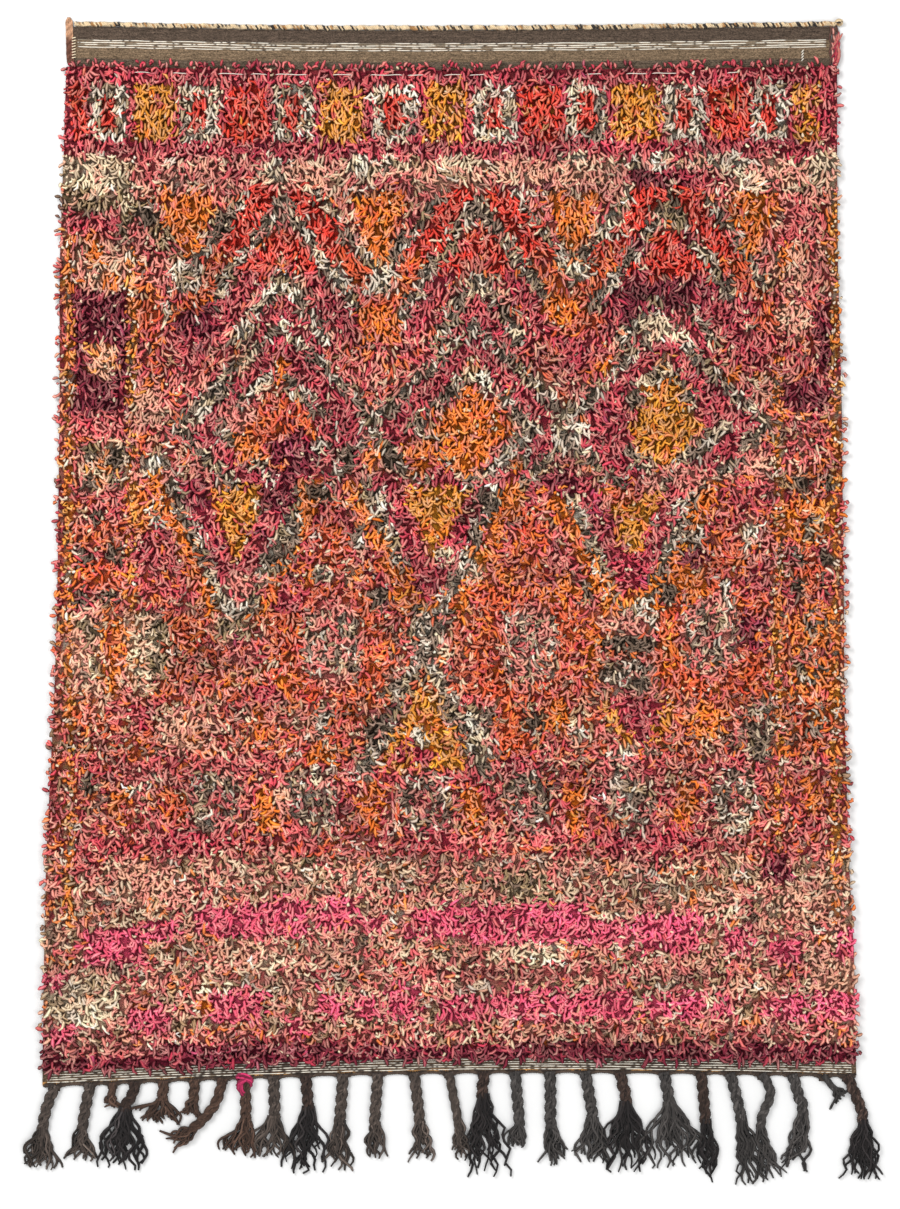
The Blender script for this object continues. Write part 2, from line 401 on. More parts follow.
# Thin lines over the patches: points, thick, mix
strokes = [
    (((-50.4, 80.6), (-55.4, 88.0)), 1.8, "frame"), (((-33.4, 111.0), (-36.4, 120.0)), 2.0, "comb"),
    (((-9.6, 120.6), (-7.8, 126.6), (-4.2, 129.4), (0.2, 125.4)), 1.3, "orange"),
    (((35.0, 122.0), (37.4, 127.2), (42.6, 127.2), (45.6, 122.4)), 1.5, "orange"),
    (((8.4, 152.0), (8.8, 163.0)), 1.2, "white"), (((44.8, 130.6), (44.4, 134.4)), 1.2, "white"),
    (((35.0, 151.0), (38.4, 158.0)), 1.6, "mustard"),
    (((48.8, 151.0), (44.8, 158.8)), 1.8, "mustard"),
    (((-34.8, 163.0), (-34.4, 169.4), (-28.4, 172.0)), 1.4, "comb"),
    (((-70.0, 170.4), (-64.6, 166.0)), 1.4, "white"), (((36.4, 162.0), (41.4, 176.0)), 1.6, "comb"),
    (((46.8, 60.0), (45.6, 64.4)), 1.2, "white"), (((42.8, 50.6), (41.6, 54.6)), 1.2, "white"),
]


edges = {  # how the figures' edges run, in centimetres
    "waver": 0.8, "waverSize": 5.0,     # how far an edge wanders, and over what length
    "band": 0.9, "figure": 0.4,         # half the width over which two mixes blend
    "patch": (0.80, 1.18),              # the same for patches, as shares of their half sizes
    "box": (-0.4, 0.5), "wedge": (-0.5, 0.6), "wedgeEnd": (0.6, 0.4),
}


class Basket:
    # The share of each yarn at every point, changed by each figure that is laid over it

    def __init__(self, across, down):
        waver, size = edges["waver"], edges["waverSize"]
        self.across = across + waver * softField(across, down, size, 3.0)
        self.down = down + waver * softField(across, down, size, 7.0)
        self.shares = np.zeros((len(across), len(yarnNames)))

    def lay(self, cover, mix):
        mixed = np.array([mixes[mix].get(name, 0.0) for name in yarnNames])
        cover = cover[:, None]
        self.shares = self.shares * (1.0 - cover) + cover * mixed / mixed.sum()

    def band(self, start, end, mix):
        soft = edges["band"]
        inside = softStep(self.down, start - soft, start + soft)
        self.lay(inside * (1.0 - softStep(self.down, end - soft, end + soft)), mix)

    def patch(self, across, down, halfAcross, halfDown, mix, strength=0.9):
        reach = np.hypot((self.across - across) / halfAcross, (self.down - down) / halfDown)
        self.lay((1.0 - softStep(reach, *edges["patch"])) * strength, mix)

    def box(self, across, down, halfAcross, halfDown, mix, strength=0.95):
        reach = np.maximum(np.abs(self.across - across) - halfAcross,
                           np.abs(self.down - down) - halfDown)
        self.lay((1.0 - softStep(reach, *edges["box"])) * strength, mix)

    def line(self, points, thick, mix, strength=0.9):
        reach = np.full(len(self.across), 1e9)
        for start, end in zip(points, points[1:]):
            run = np.subtract(end, start)
            share = (self.across - start[0]) * run[0] + (self.down - start[1]) * run[1]
            share = np.clip(share / float(run @ run), 0.0, 1.0)
            away = np.hypot(self.across - start[0] - share * run[0],
                            self.down - start[1] - share * run[1])
            reach = np.minimum(reach, away)
        self.within(reach, thick / 2.0, mix, strength)

    def within(self, reach, limit, mix, strength):
        soft = edges["figure"]
        self.lay((1.0 - softStep(reach, limit - soft, limit + soft)) * strength, mix)

    def chevron(self, middle, lean, stripe, strength=0.95):
        # two legs that lean away from a middle line
        apex, start, end, thick, mix = stripe
        for side in (-lean, lean):
            legs = [(middle + side * abs(down - apex), down) for down in (start, end)]
            self.line(legs, thick, mix, strength)

    def wedge(self, middle, point, base, lean, mix, strength=0.9):
        # a filled triangle between its point and its base
        reach = np.abs(self.across - middle) - np.abs(self.down - point) * lean
        inside = 1.0 - softStep(reach, *edges["wedge"])
        top, bottom = min(point, base), max(point, base)
        out, into = edges["wedgeEnd"]
        inside = inside * softStep(self.down, top - out, top + into)
        inside = inside * (1.0 - softStep(self.down, bottom - into, bottom + out))
        self.lay(inside * strength, mix)

    def diamond(self, across, down, size, thick, mix, strength=0.94):
        # an outline, or a filled one where thick is 0
        reach = np.abs(self.across - across) + np.abs(self.down - down) - size
        reach = (np.abs(reach) if thick else reach) / math.sqrt(2.0)
        self.within(reach, thick / 2.0, mix, strength)


def layUpperRow(basket):
    for middle in upperRow["wedges"]:
        basket.wedge(middle, upperRow["wedgePoint"], upperRow["wedgeTop"], upperRow["wedgeLean"],
                     "orange")
    for middle in upperRow["middles"]:
        for stripe in upperRow["stripes"]:
            basket.chevron(middle, upperRow["lean"], stripe)


def layLozengeRow(basket):
    for (across, down), fill in zip(lozengeRow["centres"], lozengeRow["fills"]):
        for size, thick, mix in lozengeRow["outlines"]:
            basket.diamond(across, down, size, thick, mix)
        basket.diamond(across, down, lozengeRow["core"], 0.0, fill)
    for middle in lozengeRow["wedges"]:
        basket.wedge(middle, lozengeRow["wedgePoint"], lozengeRow["wedgeTop"],
                     lozengeRow["wedgeLean"], "crimson")


def layLatticeRow(basket):
    for middle in latticeRow["hills"]:
        basket.wedge(middle, latticeRow["hillPoint"], latticeRow["hillBase"],
                     latticeRow["hillLean"], "rust")
    for middle in latticeRow["middles"]:
        for stripe in latticeRow["stripes"]:
            basket.chevron(middle, latticeRow["lean"], stripe)
        basket.wedge(middle, latticeRow["wedgePoint"], latticeRow["wedgeTop"],
                     latticeRow["lean"], "mustard", 0.85)


def layMedallions(basket):
    high = medallionRow["high"]
    for across, down in medallionRow["centres"]:
        basket.box(across, down, *medallionRow["half"], "rust", medallionRow["strength"])
        basket.patch(across, down, *medallionRow["inner"], "dusty", medallionRow["strength"])
        for tooth in medallionRow["teeth"]:
            basket.line(((across + tooth, down - high), (across + tooth, down + high)),
                        medallionRow["toothThick"], "comb")
        basket.patch(across, down, *medallionRow["eye"], "rose", 0.6)


def layRounds(basket):
    down = roundRow["down"]
    for across in roundRow["centres"]:
        basket.patch(across, down, *roundRow["half"], "comb", roundRow["strength"])
        basket.patch(across, down, *roundRow["eye"], "rose", 0.6)
    for across in roundRow["between"]:
        basket.patch(across, down + roundRow["ovalLower"], *roundRow["oval"], "orange")


def layBorders(basket):
    for points in borders["lines"]:
        basket.line(points, borders["thick"], "dotted")
    for across, down in borders["rings"]:
        basket.patch(across, down, *borders["ring"], "comb", 0.95)
        basket.patch(across, down, *borders["ringCore"], "orange")
    for across, down in borders["marks"]:
        basket.patch(across, down, *borders["mark"], "charcoal")


def layBoxes(basket):
    high, (wide, tall) = boxRow["halfDown"], boxRow["core"]
    for middle, half, kind in boxRow["boxes"]:
        outer, core, strength = boxRow["mixOf"][kind]
        basket.box(middle, boxRow["middle"], half, high, outer)
        basket.box(middle, boxRow["middle"], half * wide, high * tall, core, strength)


def layLoneFigures(basket):
    hill = loneFigures["hill"]
    basket.wedge(*hill)
    basket.chevron(hill[0], hill[3], loneFigures["hillEdge"])
    basket.wedge(*loneFigures["wedge"])
    basket.box(*loneFigures["square"])
    basket.patch(*loneFigures["eye"])


def yarnShares(across, down):
    basket = Basket(across, down)
    for start, end, mix in bands:
        basket.band(start, end, mix)
    layBoxes(basket)
    layUpperRow(basket)
    layLozengeRow(basket)
    layLatticeRow(basket)
    layMedallions(basket)
    layLoneFigures(basket)
    for patch in patches:
        basket.patch(*patch)
    layRounds(basket)
    layBorders(basket)
    for points, thick, mix in strokes:
        basket.line(points, thick, mix, 0.92)
    for start, end, down, thick in pinkRows:
        basket.box((start + end) / 2.0, down, (end - start) / 2.0, thick / 2.0, "pinkBand", 0.93)
    return basket.shares


choice = {
    "contrast": 1.7,    # above 1 the commonest yarns of a mix win more often
    "faded": 0.20,      # how far each end has faded towards its neighbours
}


def pickYarns(across, down, luck):
    # luck is 0 to 1 for each point; near points with the same luck get the same yarn
    shares = yarnShares(across, down) ** choice["contrast"]
    shares = shares / shares.sum(axis=1, keepdims=True)
    chosen = (luck[:, None] > np.cumsum(shares, axis=1)).sum(axis=1)
    chosen = yarnTable[np.minimum(chosen, len(yarnNames) - 1)]
    return chosen * (1.0 - choice["faded"]) + shares @ yarnTable * choice["faded"]


def clusterLuck(across, down, wide, high, ownShare):
    # Small neighbourhoods share one number, and some points keep their own
    cells, first, wave = 1200, 500, 0.35      # wave is how crooked a neighbourhood's edge is
    column = np.floor(across / wide + wave * np.sin(down / high)).astype(int) + first
    row = np.floor(down / high + wave * np.sin(across / wide)).astype(int) + first
    shared = dice.random((cells, cells))[column, row]
    return np.where(dice.random(len(across)) < ownShare, dice.random(len(across)), shared)


# Meshes of yarn

tubes = {
    "clearance": 0.0002,     # no yarn comes nearer to the floor
    "cellMargin": 0.12,      # empty share at each side of a yarn's cell on the UV map
    "capWide": 0.02,         # share of the cell that the end of a yarn takes
}


def strands(centres, radii, tints, sides, flank):
    # Yarns of one kind, with a radius and a colour for all, for each yarn or for each point.
    # flank is how much colour is left on the sides, where neighbours keep the light off
    centres = np.asarray(centres)
    centres = centres[None] if centres.ndim == 2 else centres
    shape = centres.shape[:2]
    return {"centres": centres, "radii": np.broadcast_to(radii, shape),
            "tints": np.broadcast_to(tints, (*shape, 3)), "sides": sides, "flank": flank}


def yarnFrames(centres):
    run = np.gradient(centres, axis=1)
    run = run / np.maximum(np.linalg.norm(run, axis=2, keepdims=True), 1e-9)
    side = np.cross(run, (0.0, 0.0, 1.0))
    side = side / np.maximum(np.linalg.norm(side, axis=2, keepdims=True), 1e-9)
    return side, np.cross(side, run)


def tubeWall(group):
    # The points of every tube of a group, ring by ring, and their colours
    radii, sides = group["radii"], group["sides"]
    centres = group["centres"].copy()
    centres[:, :, 2] = np.maximum(centres[:, :, 2], radii + tubes["clearance"])
    count, rings = centres.shape[:2]
    side, up = yarnFrames(centres)
    turn = np.arange(sides) * math.tau / sides + math.pi / 2.0
    flat = group.get("flat", 1.0)          # how much wider than tall the yarn is
    spread = side[:, :, None] * (flat * np.cos(turn))[:, None]
    spread = spread + up[:, :, None] * np.sin(turn)[:, None]
    wall = (centres[:, :, None] + radii[:, :, None, None] * spread).reshape(count, -1, 3)
    upward = np.clip(np.sin(turn), 0.0, 1.0)
    glow = upward * (1.0 - group["flank"]) + group["flank"]
    tint = np.repeat(group["tints"], sides, axis=1) * np.tile(glow, rings)[:, None]
    if "crest" in group:                   # share of pale wool along the top of each yarn
        pale = (group["crest"][:, :, None] * upward).reshape(count, -1, 1)
        tint = tint * (1.0 - pale) + group["pale"] * pale
    if group.get("rooted"):                # the first ring becomes one point
        wall = np.concatenate([centres[:, :1], wall[:, sides:]], axis=1)
        tint = np.concatenate([group["tints"][:, :1], tint[:, sides:]], axis=1)
    return wall, tint


def tubeFaces(rings, sides, rooted):
    # One tube's faces: the points at their corners, how many corners each face has, and the
    # place of each corner in the tube's cell on the UV map
    here = np.arange(sides)
    there = (here + 1) % sides
    around = here[:, None] / sides + np.array([0.0, 0.0, 1.0, 1.0]) / sides
    capAlong = tubes["capWide"] * (here % 2)
    if rooted:
        shift, first = 1 - sides, 1
        head = np.stack([np.zeros(sides, int), 1 + here, 1 + there], -1).ravel()
        headCell = np.stack([np.tile([0.0, 1.0, 1.0], sides) / (rings - 1),
                             around[:, [0, 1, 2]].ravel()], -1)
        headSizes = [3] * sides
    else:
        shift, first = 0, 0
        head = here
        headCell = np.stack([capAlong, here / sides], -1)
        headSizes = [sides]
    ring = (np.arange(first, rings - 1) * sides + shift)[:, None]
    quads = np.stack([ring + here, ring + sides + here, ring + sides + there, ring + there], -1)
    tail = (rings - 1) * sides + shift + here[::-1]
    along = np.arange(first, rings - 1)[:, None, None] + np.array([0, 1, 1, 0])
    along = np.broadcast_to(along, quads.shape) / (rings - 1)
    wallCell = np.stack([along.ravel(), np.broadcast_to(around, quads.shape).ravel()], -1)
    tailCell = np.stack([1.0 - capAlong, here / sides], -1)
    return (np.concatenate([head, quads.ravel(), tail]),
            headSizes + [4] * quads[..., 0].size + [sides],
            np.concatenate([headCell, wallCell, tailCell]))


def bareMesh(name, points, corners, sizes):
    mesh = bpy.data.meshes.new(name)
    mesh.vertices.add(len(points))
    mesh.vertices.foreach_set("co", points.astype(np.float32).ravel())
    mesh.loops.add(len(corners))
    mesh.loops.foreach_set("vertex_index", corners.astype(np.int32))
    mesh.polygons.add(len(sizes))
    starts = np.concatenate([[0], np.cumsum(sizes)[:-1]])
    mesh.polygons.foreach_set("loop_start", starts.astype(np.int32))
    mesh.update(calc_edges=True)
    return mesh


def yarnMesh(name, groups, material):
    # Every yarn is a closed tube with a cell of its own on the UV map
    points, tints, corners, sizes, places = [], [], [], [], []
    across = math.ceil(math.sqrt(sum(len(group["centres"]) for group in groups)))
    margin = tubes["cellMargin"]
    offset, done = 0, 0
    for group in groups:
        count, rings = group["centres"].shape[:2]
        wall, tint = tubeWall(group)
        own, ownSizes, cell = tubeFaces(rings, group["sides"], group.get("rooted"))
        points.append(wall.reshape(-1, 3))
        tints.append(tint.reshape(-1, 3))
        start = offset + np.arange(count) * wall.shape[1]
        corners.append((own[None] + start[:, None]).ravel())
        sizes.append(np.tile(ownSizes, count))
        number = done + np.arange(count)
        corner = np.stack([number % across, number // across], -1)
        placed = corner[:, None] + margin + (1.0 - 2.0 * margin) * cell[None]
        places.append((placed / across).reshape(-1, 2))
        offset += count * wall.shape[1]
        done += count
    mesh = bareMesh(name, np.concatenate(points), np.concatenate(corners), np.concatenate(sizes))
    mesh.uv_layers.new(name="OFBake")
    places = np.concatenate(places).astype(np.float32)
    mesh.uv_layers["OFBake"].data.foreach_set("uv", places.ravel())
    paintPoints(mesh, np.concatenate(tints))
    mesh.shade_smooth()
    mesh.materials.append(material)
    piece = bpy.data.objects.new(name, mesh)
    bpy.context.scene.collection.objects.link(piece)
    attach(piece, "root")
    return piece


def paintPoints(mesh, tints):
    darkest, palest = 0.002, 0.98
    layer = mesh.color_attributes.new(name="yarn", type="FLOAT_COLOR", domain="POINT")
    tints = np.clip(tints, darkest, palest)
    shown = np.concatenate([tints, np.ones((len(tints), 1))], axis=1)
    layer.data.foreach_set("color", shown.astype(np.float32).ravel())


# Materials

fibres = {  # what the single fibres do to a yarn's colour and shine
    "detail": 3.0, "noise": 0.65, "span": (0.32, 0.68),    # span is how far the noise reaches
    "roughness": (0.98, 0.80),                             # between the fibres and on them
    "specular": 0.18, "sheenRoughness": 0.6, "bump": 0.7,
}


def buildWoolGroup():
    # fibres mottle the colour, and raise and roughen the yarn
    group = bpy.data.node_groups.new("woolFibre", "ShaderNodeTree")
    for name, kind in (("Color", "NodeSocketColor"), ("Fibre Scale", "NodeSocketFloat"),
                       ("Mottle", "NodeSocketFloat"), ("Grain", "NodeSocketVector")):
        group.interface.new_socket(name, in_out="INPUT", socket_type=kind)
    for name, kind in (("Color", "NodeSocketColor"), ("Height", "NodeSocketFloat"),
                       ("Roughness", "NodeSocketFloat")):
        group.interface.new_socket(name, in_out="OUTPUT", socket_type=kind)
    nodes, links = group.nodes, group.links
    given = nodes.new("NodeGroupInput")
    result = nodes.new("NodeGroupOutput")
    place = nodes.new("ShaderNodeTexCoord")
    fibre = nodes.new("ShaderNodeTexNoise")
    fibre.inputs["Detail"].default_value = fibres["detail"]
    fibre.inputs["Roughness"].default_value = fibres["noise"]
    grain = nodes.new("ShaderNodeVectorMath")
    grain.operation = "MULTIPLY"
    links.new(place.outputs["Object"], grain.inputs[0])
    links.new(given.outputs["Grain"], grain.inputs[1])
    links.new(grain.outputs["Vector"], fibre.inputs["Vector"])
    links.new(given.outputs["Fibre Scale"], fibre.inputs["Scale"])
    value = nodes.new("ShaderNodeMapRange")
    value.inputs["From Min"].default_value, value.inputs["From Max"].default_value = fibres["span"]
    links.new(fibre.outputs["Fac"], value.inputs["Value"])
    for limit, operation in (("To Min", "SUBTRACT"), ("To Max", "ADD")):
        reach = nodes.new("ShaderNodeMath")
        reach.operation = operation
        reach.inputs[0].default_value = 1.0
        links.new(given.outputs["Mottle"], reach.inputs[1])
        links.new(reach.outputs["Value"], value.inputs[limit])
    tone = nodes.new("ShaderNodeHueSaturation")
    links.new(given.outputs["Color"], tone.inputs["Color"])
    links.new(value.outputs["Result"], tone.inputs["Value"])
    rough = nodes.new("ShaderNodeMapRange")
    rough.inputs["To Min"].default_value, rough.inputs["To Max"].default_value = fibres["roughness"]
    links.new(fibre.outputs["Fac"], rough.inputs["Value"])
    links.new(tone.outputs["Color"], result.inputs["Color"])
    links.new(fibre.outputs["Fac"], result.inputs["Height"])
    links.new(rough.outputs["Result"], result.inputs["Roughness"])
    return group


woolGroup = buildWoolGroup()


def woolMaterial(name, fibreScale, mottle, bumpDepth, sheen=0.15, rib=None, grain=(1.0, 1.0, 1.0)):
    material = bpy.data.materials.new(name)
    material.use_nodes = True
    nodes, links = material.node_tree.nodes, material.node_tree.links
    shader = nodes["Principled BSDF"]
    shader.inputs["Specular IOR Level"].default_value = fibres["specular"]
    shader.inputs["Sheen Weight"].default_value = sheen
    shader.inputs["Sheen Roughness"].default_value = fibres["sheenRoughness"]
    color = nodes.new("ShaderNodeAttribute")
    color.attribute_name = "yarn"
    wool = nodes.new("ShaderNodeGroup")
    wool.node_tree = woolGroup
    wool.inputs["Fibre Scale"].default_value = fibreScale
    wool.inputs["Mottle"].default_value = mottle
    wool.inputs["Grain"].default_value = grain
    links.new(color.outputs["Color"], wool.inputs["Color"])
    links.new(wool.outputs["Color"], shader.inputs["Base Color"])
    links.new(wool.outputs["Roughness"], shader.inputs["Roughness"])
    bump = nodes.new("ShaderNodeBump")
    bump.inputs["Strength"].default_value = fibres["bump"]
    bump.inputs["Distance"].default_value = bumpDepth
    height = wool.outputs["Height"]
    if rib:
        place = nodes.new("ShaderNodeTexCoord")
        wave = nodes.new("ShaderNodeTexWave")
        wave.bands_direction = rib["direction"]
        wave.inputs["Scale"].default_value = rib["scale"]
        wave.inputs["Distortion"].default_value = rib["distortion"]
        links.new(place.outputs["Object"], wave.inputs["Vector"])
        both = nodes.new("ShaderNodeMath")
        both.operation = "ADD"
        links.new(wave.outputs["Fac"], both.inputs[0])
        links.new(height, both.inputs[1])
        height = both.outputs["Value"]
    links.new(height, bump.inputs["Height"])
    links.new(bump.outputs["Normal"], shader.inputs["Normal"])
    return material


pileWool = woolMaterial("pileWool", 620.0, 0.22, 0.0012, sheen=0.0)
groundWool = woolMaterial("groundWool", 560.0, 0.80, 0.0026, sheen=0.0, grain=(0.55, 1.0, 1.0),
                          rib={"direction": "Y", "scale": 105.0, "distortion": 2.0})
cordWool = woolMaterial("cordWool", 700.0, 0.20, 0.0010)
plaitWool = woolMaterial("plaitWool", 800.0, 0.30, 0.0012, sheen=0.05)
bindingLeather = woolMaterial("bindingLeather", 420.0, 0.30, 0.0008, sheen=0.0)
print("materials ready")


# The ground: one cloth with its flat bands

ground = {
    "columns": 176, "headRows": 60, "pileRows": 166, "footRows": 22, "shoulderRows": 3,
    "bandThick": 0.0044, "ribRise": 0.0009, "ribPitch": 0.0043, "bandUneven": 0.0004,
    "bandLeast": 0.003,
    # the wool mat under the pile; its lumps and the rim are in centimetres
    "matThick": 0.0088, "matRise": 0.0036, "matLump": 1.5, "matGrain": (0.6, 0.4),
    "matDark": 0.36, "wornPale": 0.5, "mottle": 0.5, "mottleSize": 0.7,
    "rimThick": 0.62, "rimWide": 2.5, "spread": 176.0,   # spread is the cloth's width
}
worn = (60.0, 140.0)         # towards the foot the wool is fuller and curlier: from, to, down
bandColors = {
    "dark": linear(88, 74, 63), "olive": linear(124, 104, 82), "grey": linear(98, 84, 70),
    "foot": linear(74, 58, 47), "tan": linear(190, 140, 84),
}
bandLooks = {
    "darkUntil": 2.9, "greyFrom": 7.0,            # centimetres from the head edge
    "warm": (0.3, 0.3, 14.0), "tanUntil": 0.7, "tanSize": 5.0, "tanAbove": 0.08,
    "streak": 0.5, "streakSize": (2.2, 0.3),
}


def groundRows():
    # For each row: what it belongs to and where in it, from 0 to 1
    rows = [("head", i / ground["headRows"]) for i in range(ground["headRows"] + 1)]
    last = ground["shoulderRows"]
    rows += [("fall", i / last) for i in range(1, last)]
    rows += [("pile", i / ground["pileRows"]) for i in range(ground["pileRows"] + 1)]
    rows += [("rise", i / last) for i in range(1, last)]
    rows += [("foot", i / ground["footRows"]) for i in range(ground["footRows"] + 1)]
    return rows


def rowHeight(kind, place, share):
    head, foot = headEdge(share), footEdge(share)
    band, shoulder, footBand = rug["headBand"], rug["shoulder"], rug["footBand"]
    if kind == "head":
        return head - band * place
    if kind == "fall":
        return head - band - shoulder * place
    if kind == "rise":
        return foot + footBand + shoulder * (1.0 - place)
    if kind == "foot":
        return foot + footBand * (1.0 - place)
    top, bottom = head - band - shoulder, foot + footBand + shoulder
    return top + (bottom - top) * place


def bandTint(kind, depth, across):
    # depth is in centimetres from the cloth's own edge
    if kind == "head":
        base = bandColors["dark"] if depth < bandLooks["darkUntil"] else bandColors["olive"]
        if depth > bandLooks["greyFrom"]:
            base = bandColors["grey"]
    else:
        least, more, length = bandLooks["warm"]
        warm = least + more * math.sin(across / length + 1.2)
        base = bandColors["foot"] * (1.0 - warm) + bandColors["olive"] * warm
        patchy = noise.noise(Vector((across / bandLooks["tanSize"], 0.0, 2.0)))
        if depth < bandLooks["tanUntil"] and patchy > bandLooks["tanAbove"]:
            base = bandColors["tan"]
    long, short = bandLooks["streakSize"]
    streak = noise.noise(Vector((across / long, depth / short, 9.0)))
    return base * (1.0 + bandLooks["streak"] * streak)


def groundPlan(rows, even):
    plan = np.zeros((len(rows), len(even), 3))
    for number, (kind, place) in enumerate(rows):
        y = rowHeight(kind, place, even)
        insetLeft, insetRight = rug["headInset"] if kind == "head" else (rug["footInset"],) * 2
        left, right = insetLeft - sidesAt(y[0])[0], sidesAt(y[-1])[1] - insetRight
        plan[number, :, 0] = left + (right - left) * even
        plan[number, :, 1] = y
    return plan


def groundHeight(rows, flatBand, even, across, down):
    mat = softField(across, down, ground["matLump"], 1.0) * ground["matRise"]
    grainSize, grainShare = ground["matGrain"]
    mat = mat + softField(across, down, grainSize, 2.0) * ground["matRise"] * grainShare
    height = ground["matThick"] + mat
    for number in np.flatnonzero(flatBand):
        kind, place = rows[number]
        depth = place * (rug["headBand"] if kind == "head" else rug["footBand"])
        rib = abs(math.sin(depth / ground["ribPitch"] * math.pi))
        height[number] = ground["bandThick"] + ground["ribRise"] * (rib - 0.5)
        height[number] += ground["bandUneven"] * softField(across[number], down[number], 3.0, 5.0)
    rim = np.minimum(even, 1.0 - even) * ground["spread"]
    thin = ground["rimThick"]
    height = height * (thin + (1.0 - thin) * softStep(rim, 0.0, ground["rimWide"]))
    return np.where(flatBand[:, None], np.maximum(height, ground["bandLeast"]), height)


def groundTints(rows, flatBand, across, down):
    tints = np.zeros((*across.shape, 3))
    a, d = across[~flatBand].ravel(), down[~flatBand].ravel()
    matted = pickYarns(a, d, clusterLuck(a, d, 1.4, 1.9, 0.5)) * ground["matDark"]
    tone = 1.0 + ground["mottle"] * softField(a, d, ground["mottleSize"], 11.0)
    tone = tone + ground["wornPale"] * softStep(d, *worn)
    tints[~flatBand] = (matted * tone[:, None]).reshape(-1, across.shape[1], 3)
    for number in np.flatnonzero(flatBand):
        kind, place = rows[number]
        depth = place * rug["headBand"] if kind == "head" else (1.0 - place) * rug["footBand"]
        tints[number] = [bandTint(kind, depth * 100.0, x) for x in across[number]]
    return tints


def closeUnderside():
    # the open edge goes straight down to the floor, and one flat face closes it
    bpy.ops.object.mode_set(mode="EDIT")
    bpy.ops.mesh.select_mode(type="EDGE")
    bpy.ops.mesh.select_all(action="DESELECT")
    bpy.ops.mesh.select_non_manifold()
    bpy.ops.mesh.extrude_region_move(TRANSFORM_OT_translate={"value": (0.0, 0.0, 0.0)})
    bpy.ops.transform.resize(value=(1.0, 1.0, 0.0), center_override=(0.0, 0.0, 0.0))
    bpy.ops.mesh.edge_face_add()
    bpy.ops.mesh.select_all(action="SELECT")
    bpy.ops.mesh.normals_make_consistent(inside=False)
    bpy.ops.object.mode_set(mode="OBJECT")


def buildGround():
    rows, columns = groundRows(), ground["columns"]
    bpy.ops.mesh.primitive_grid_add(x_subdivisions=columns, y_subdivisions=len(rows) - 1, size=2.0)
    piece = bpy.context.object
    piece.name = "ground_cloth"
    mesh = piece.data
    flat = np.zeros(len(mesh.vertices) * 3, np.float32)
    mesh.vertices.foreach_get("co", flat)
    flat = flat.reshape(-1, 3)
    column = np.rint((flat[:, 0] + 1.0) / 2.0 * columns).astype(int)
    row = np.rint((1.0 - flat[:, 1]) / 2.0 * (len(rows) - 1)).astype(int)
    even = np.arange(columns + 1) / columns
    grid = groundPlan(rows, even)
    across = grid[:, :, 0] * 100.0
    down = (rug["headLine"] - grid[:, :, 1]) * 100.0
    flatBand = np.isin([kind for kind, _ in rows], ("head", "foot"))
    grid[:, :, 2] = groundHeight(rows, flatBand, even, across, down)
    tints = groundTints(rows, flatBand, across, down)
    mesh.vertices.foreach_set("co", grid[row, column].astype(np.float32).ravel())
    closeUnderside()
    painted = np.tile(bandColors["grey"], (len(mesh.vertices), 1))
    painted[:len(row)] = tints[row, column]
    paintPoints(mesh, painted)
    mesh.shade_smooth()
    mesh.set_sharp_from_angle(angle=math.radians(60.0))
    mesh.materials.append(groundWool)
    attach(piece, "root")
    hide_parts("pile_cloth")
    piece.select_set(False)
    return piece


groundPiece = buildGround()
print("ground cloth", len(groundPiece.data.polygons), "faces")


# The pile: curly wool ends

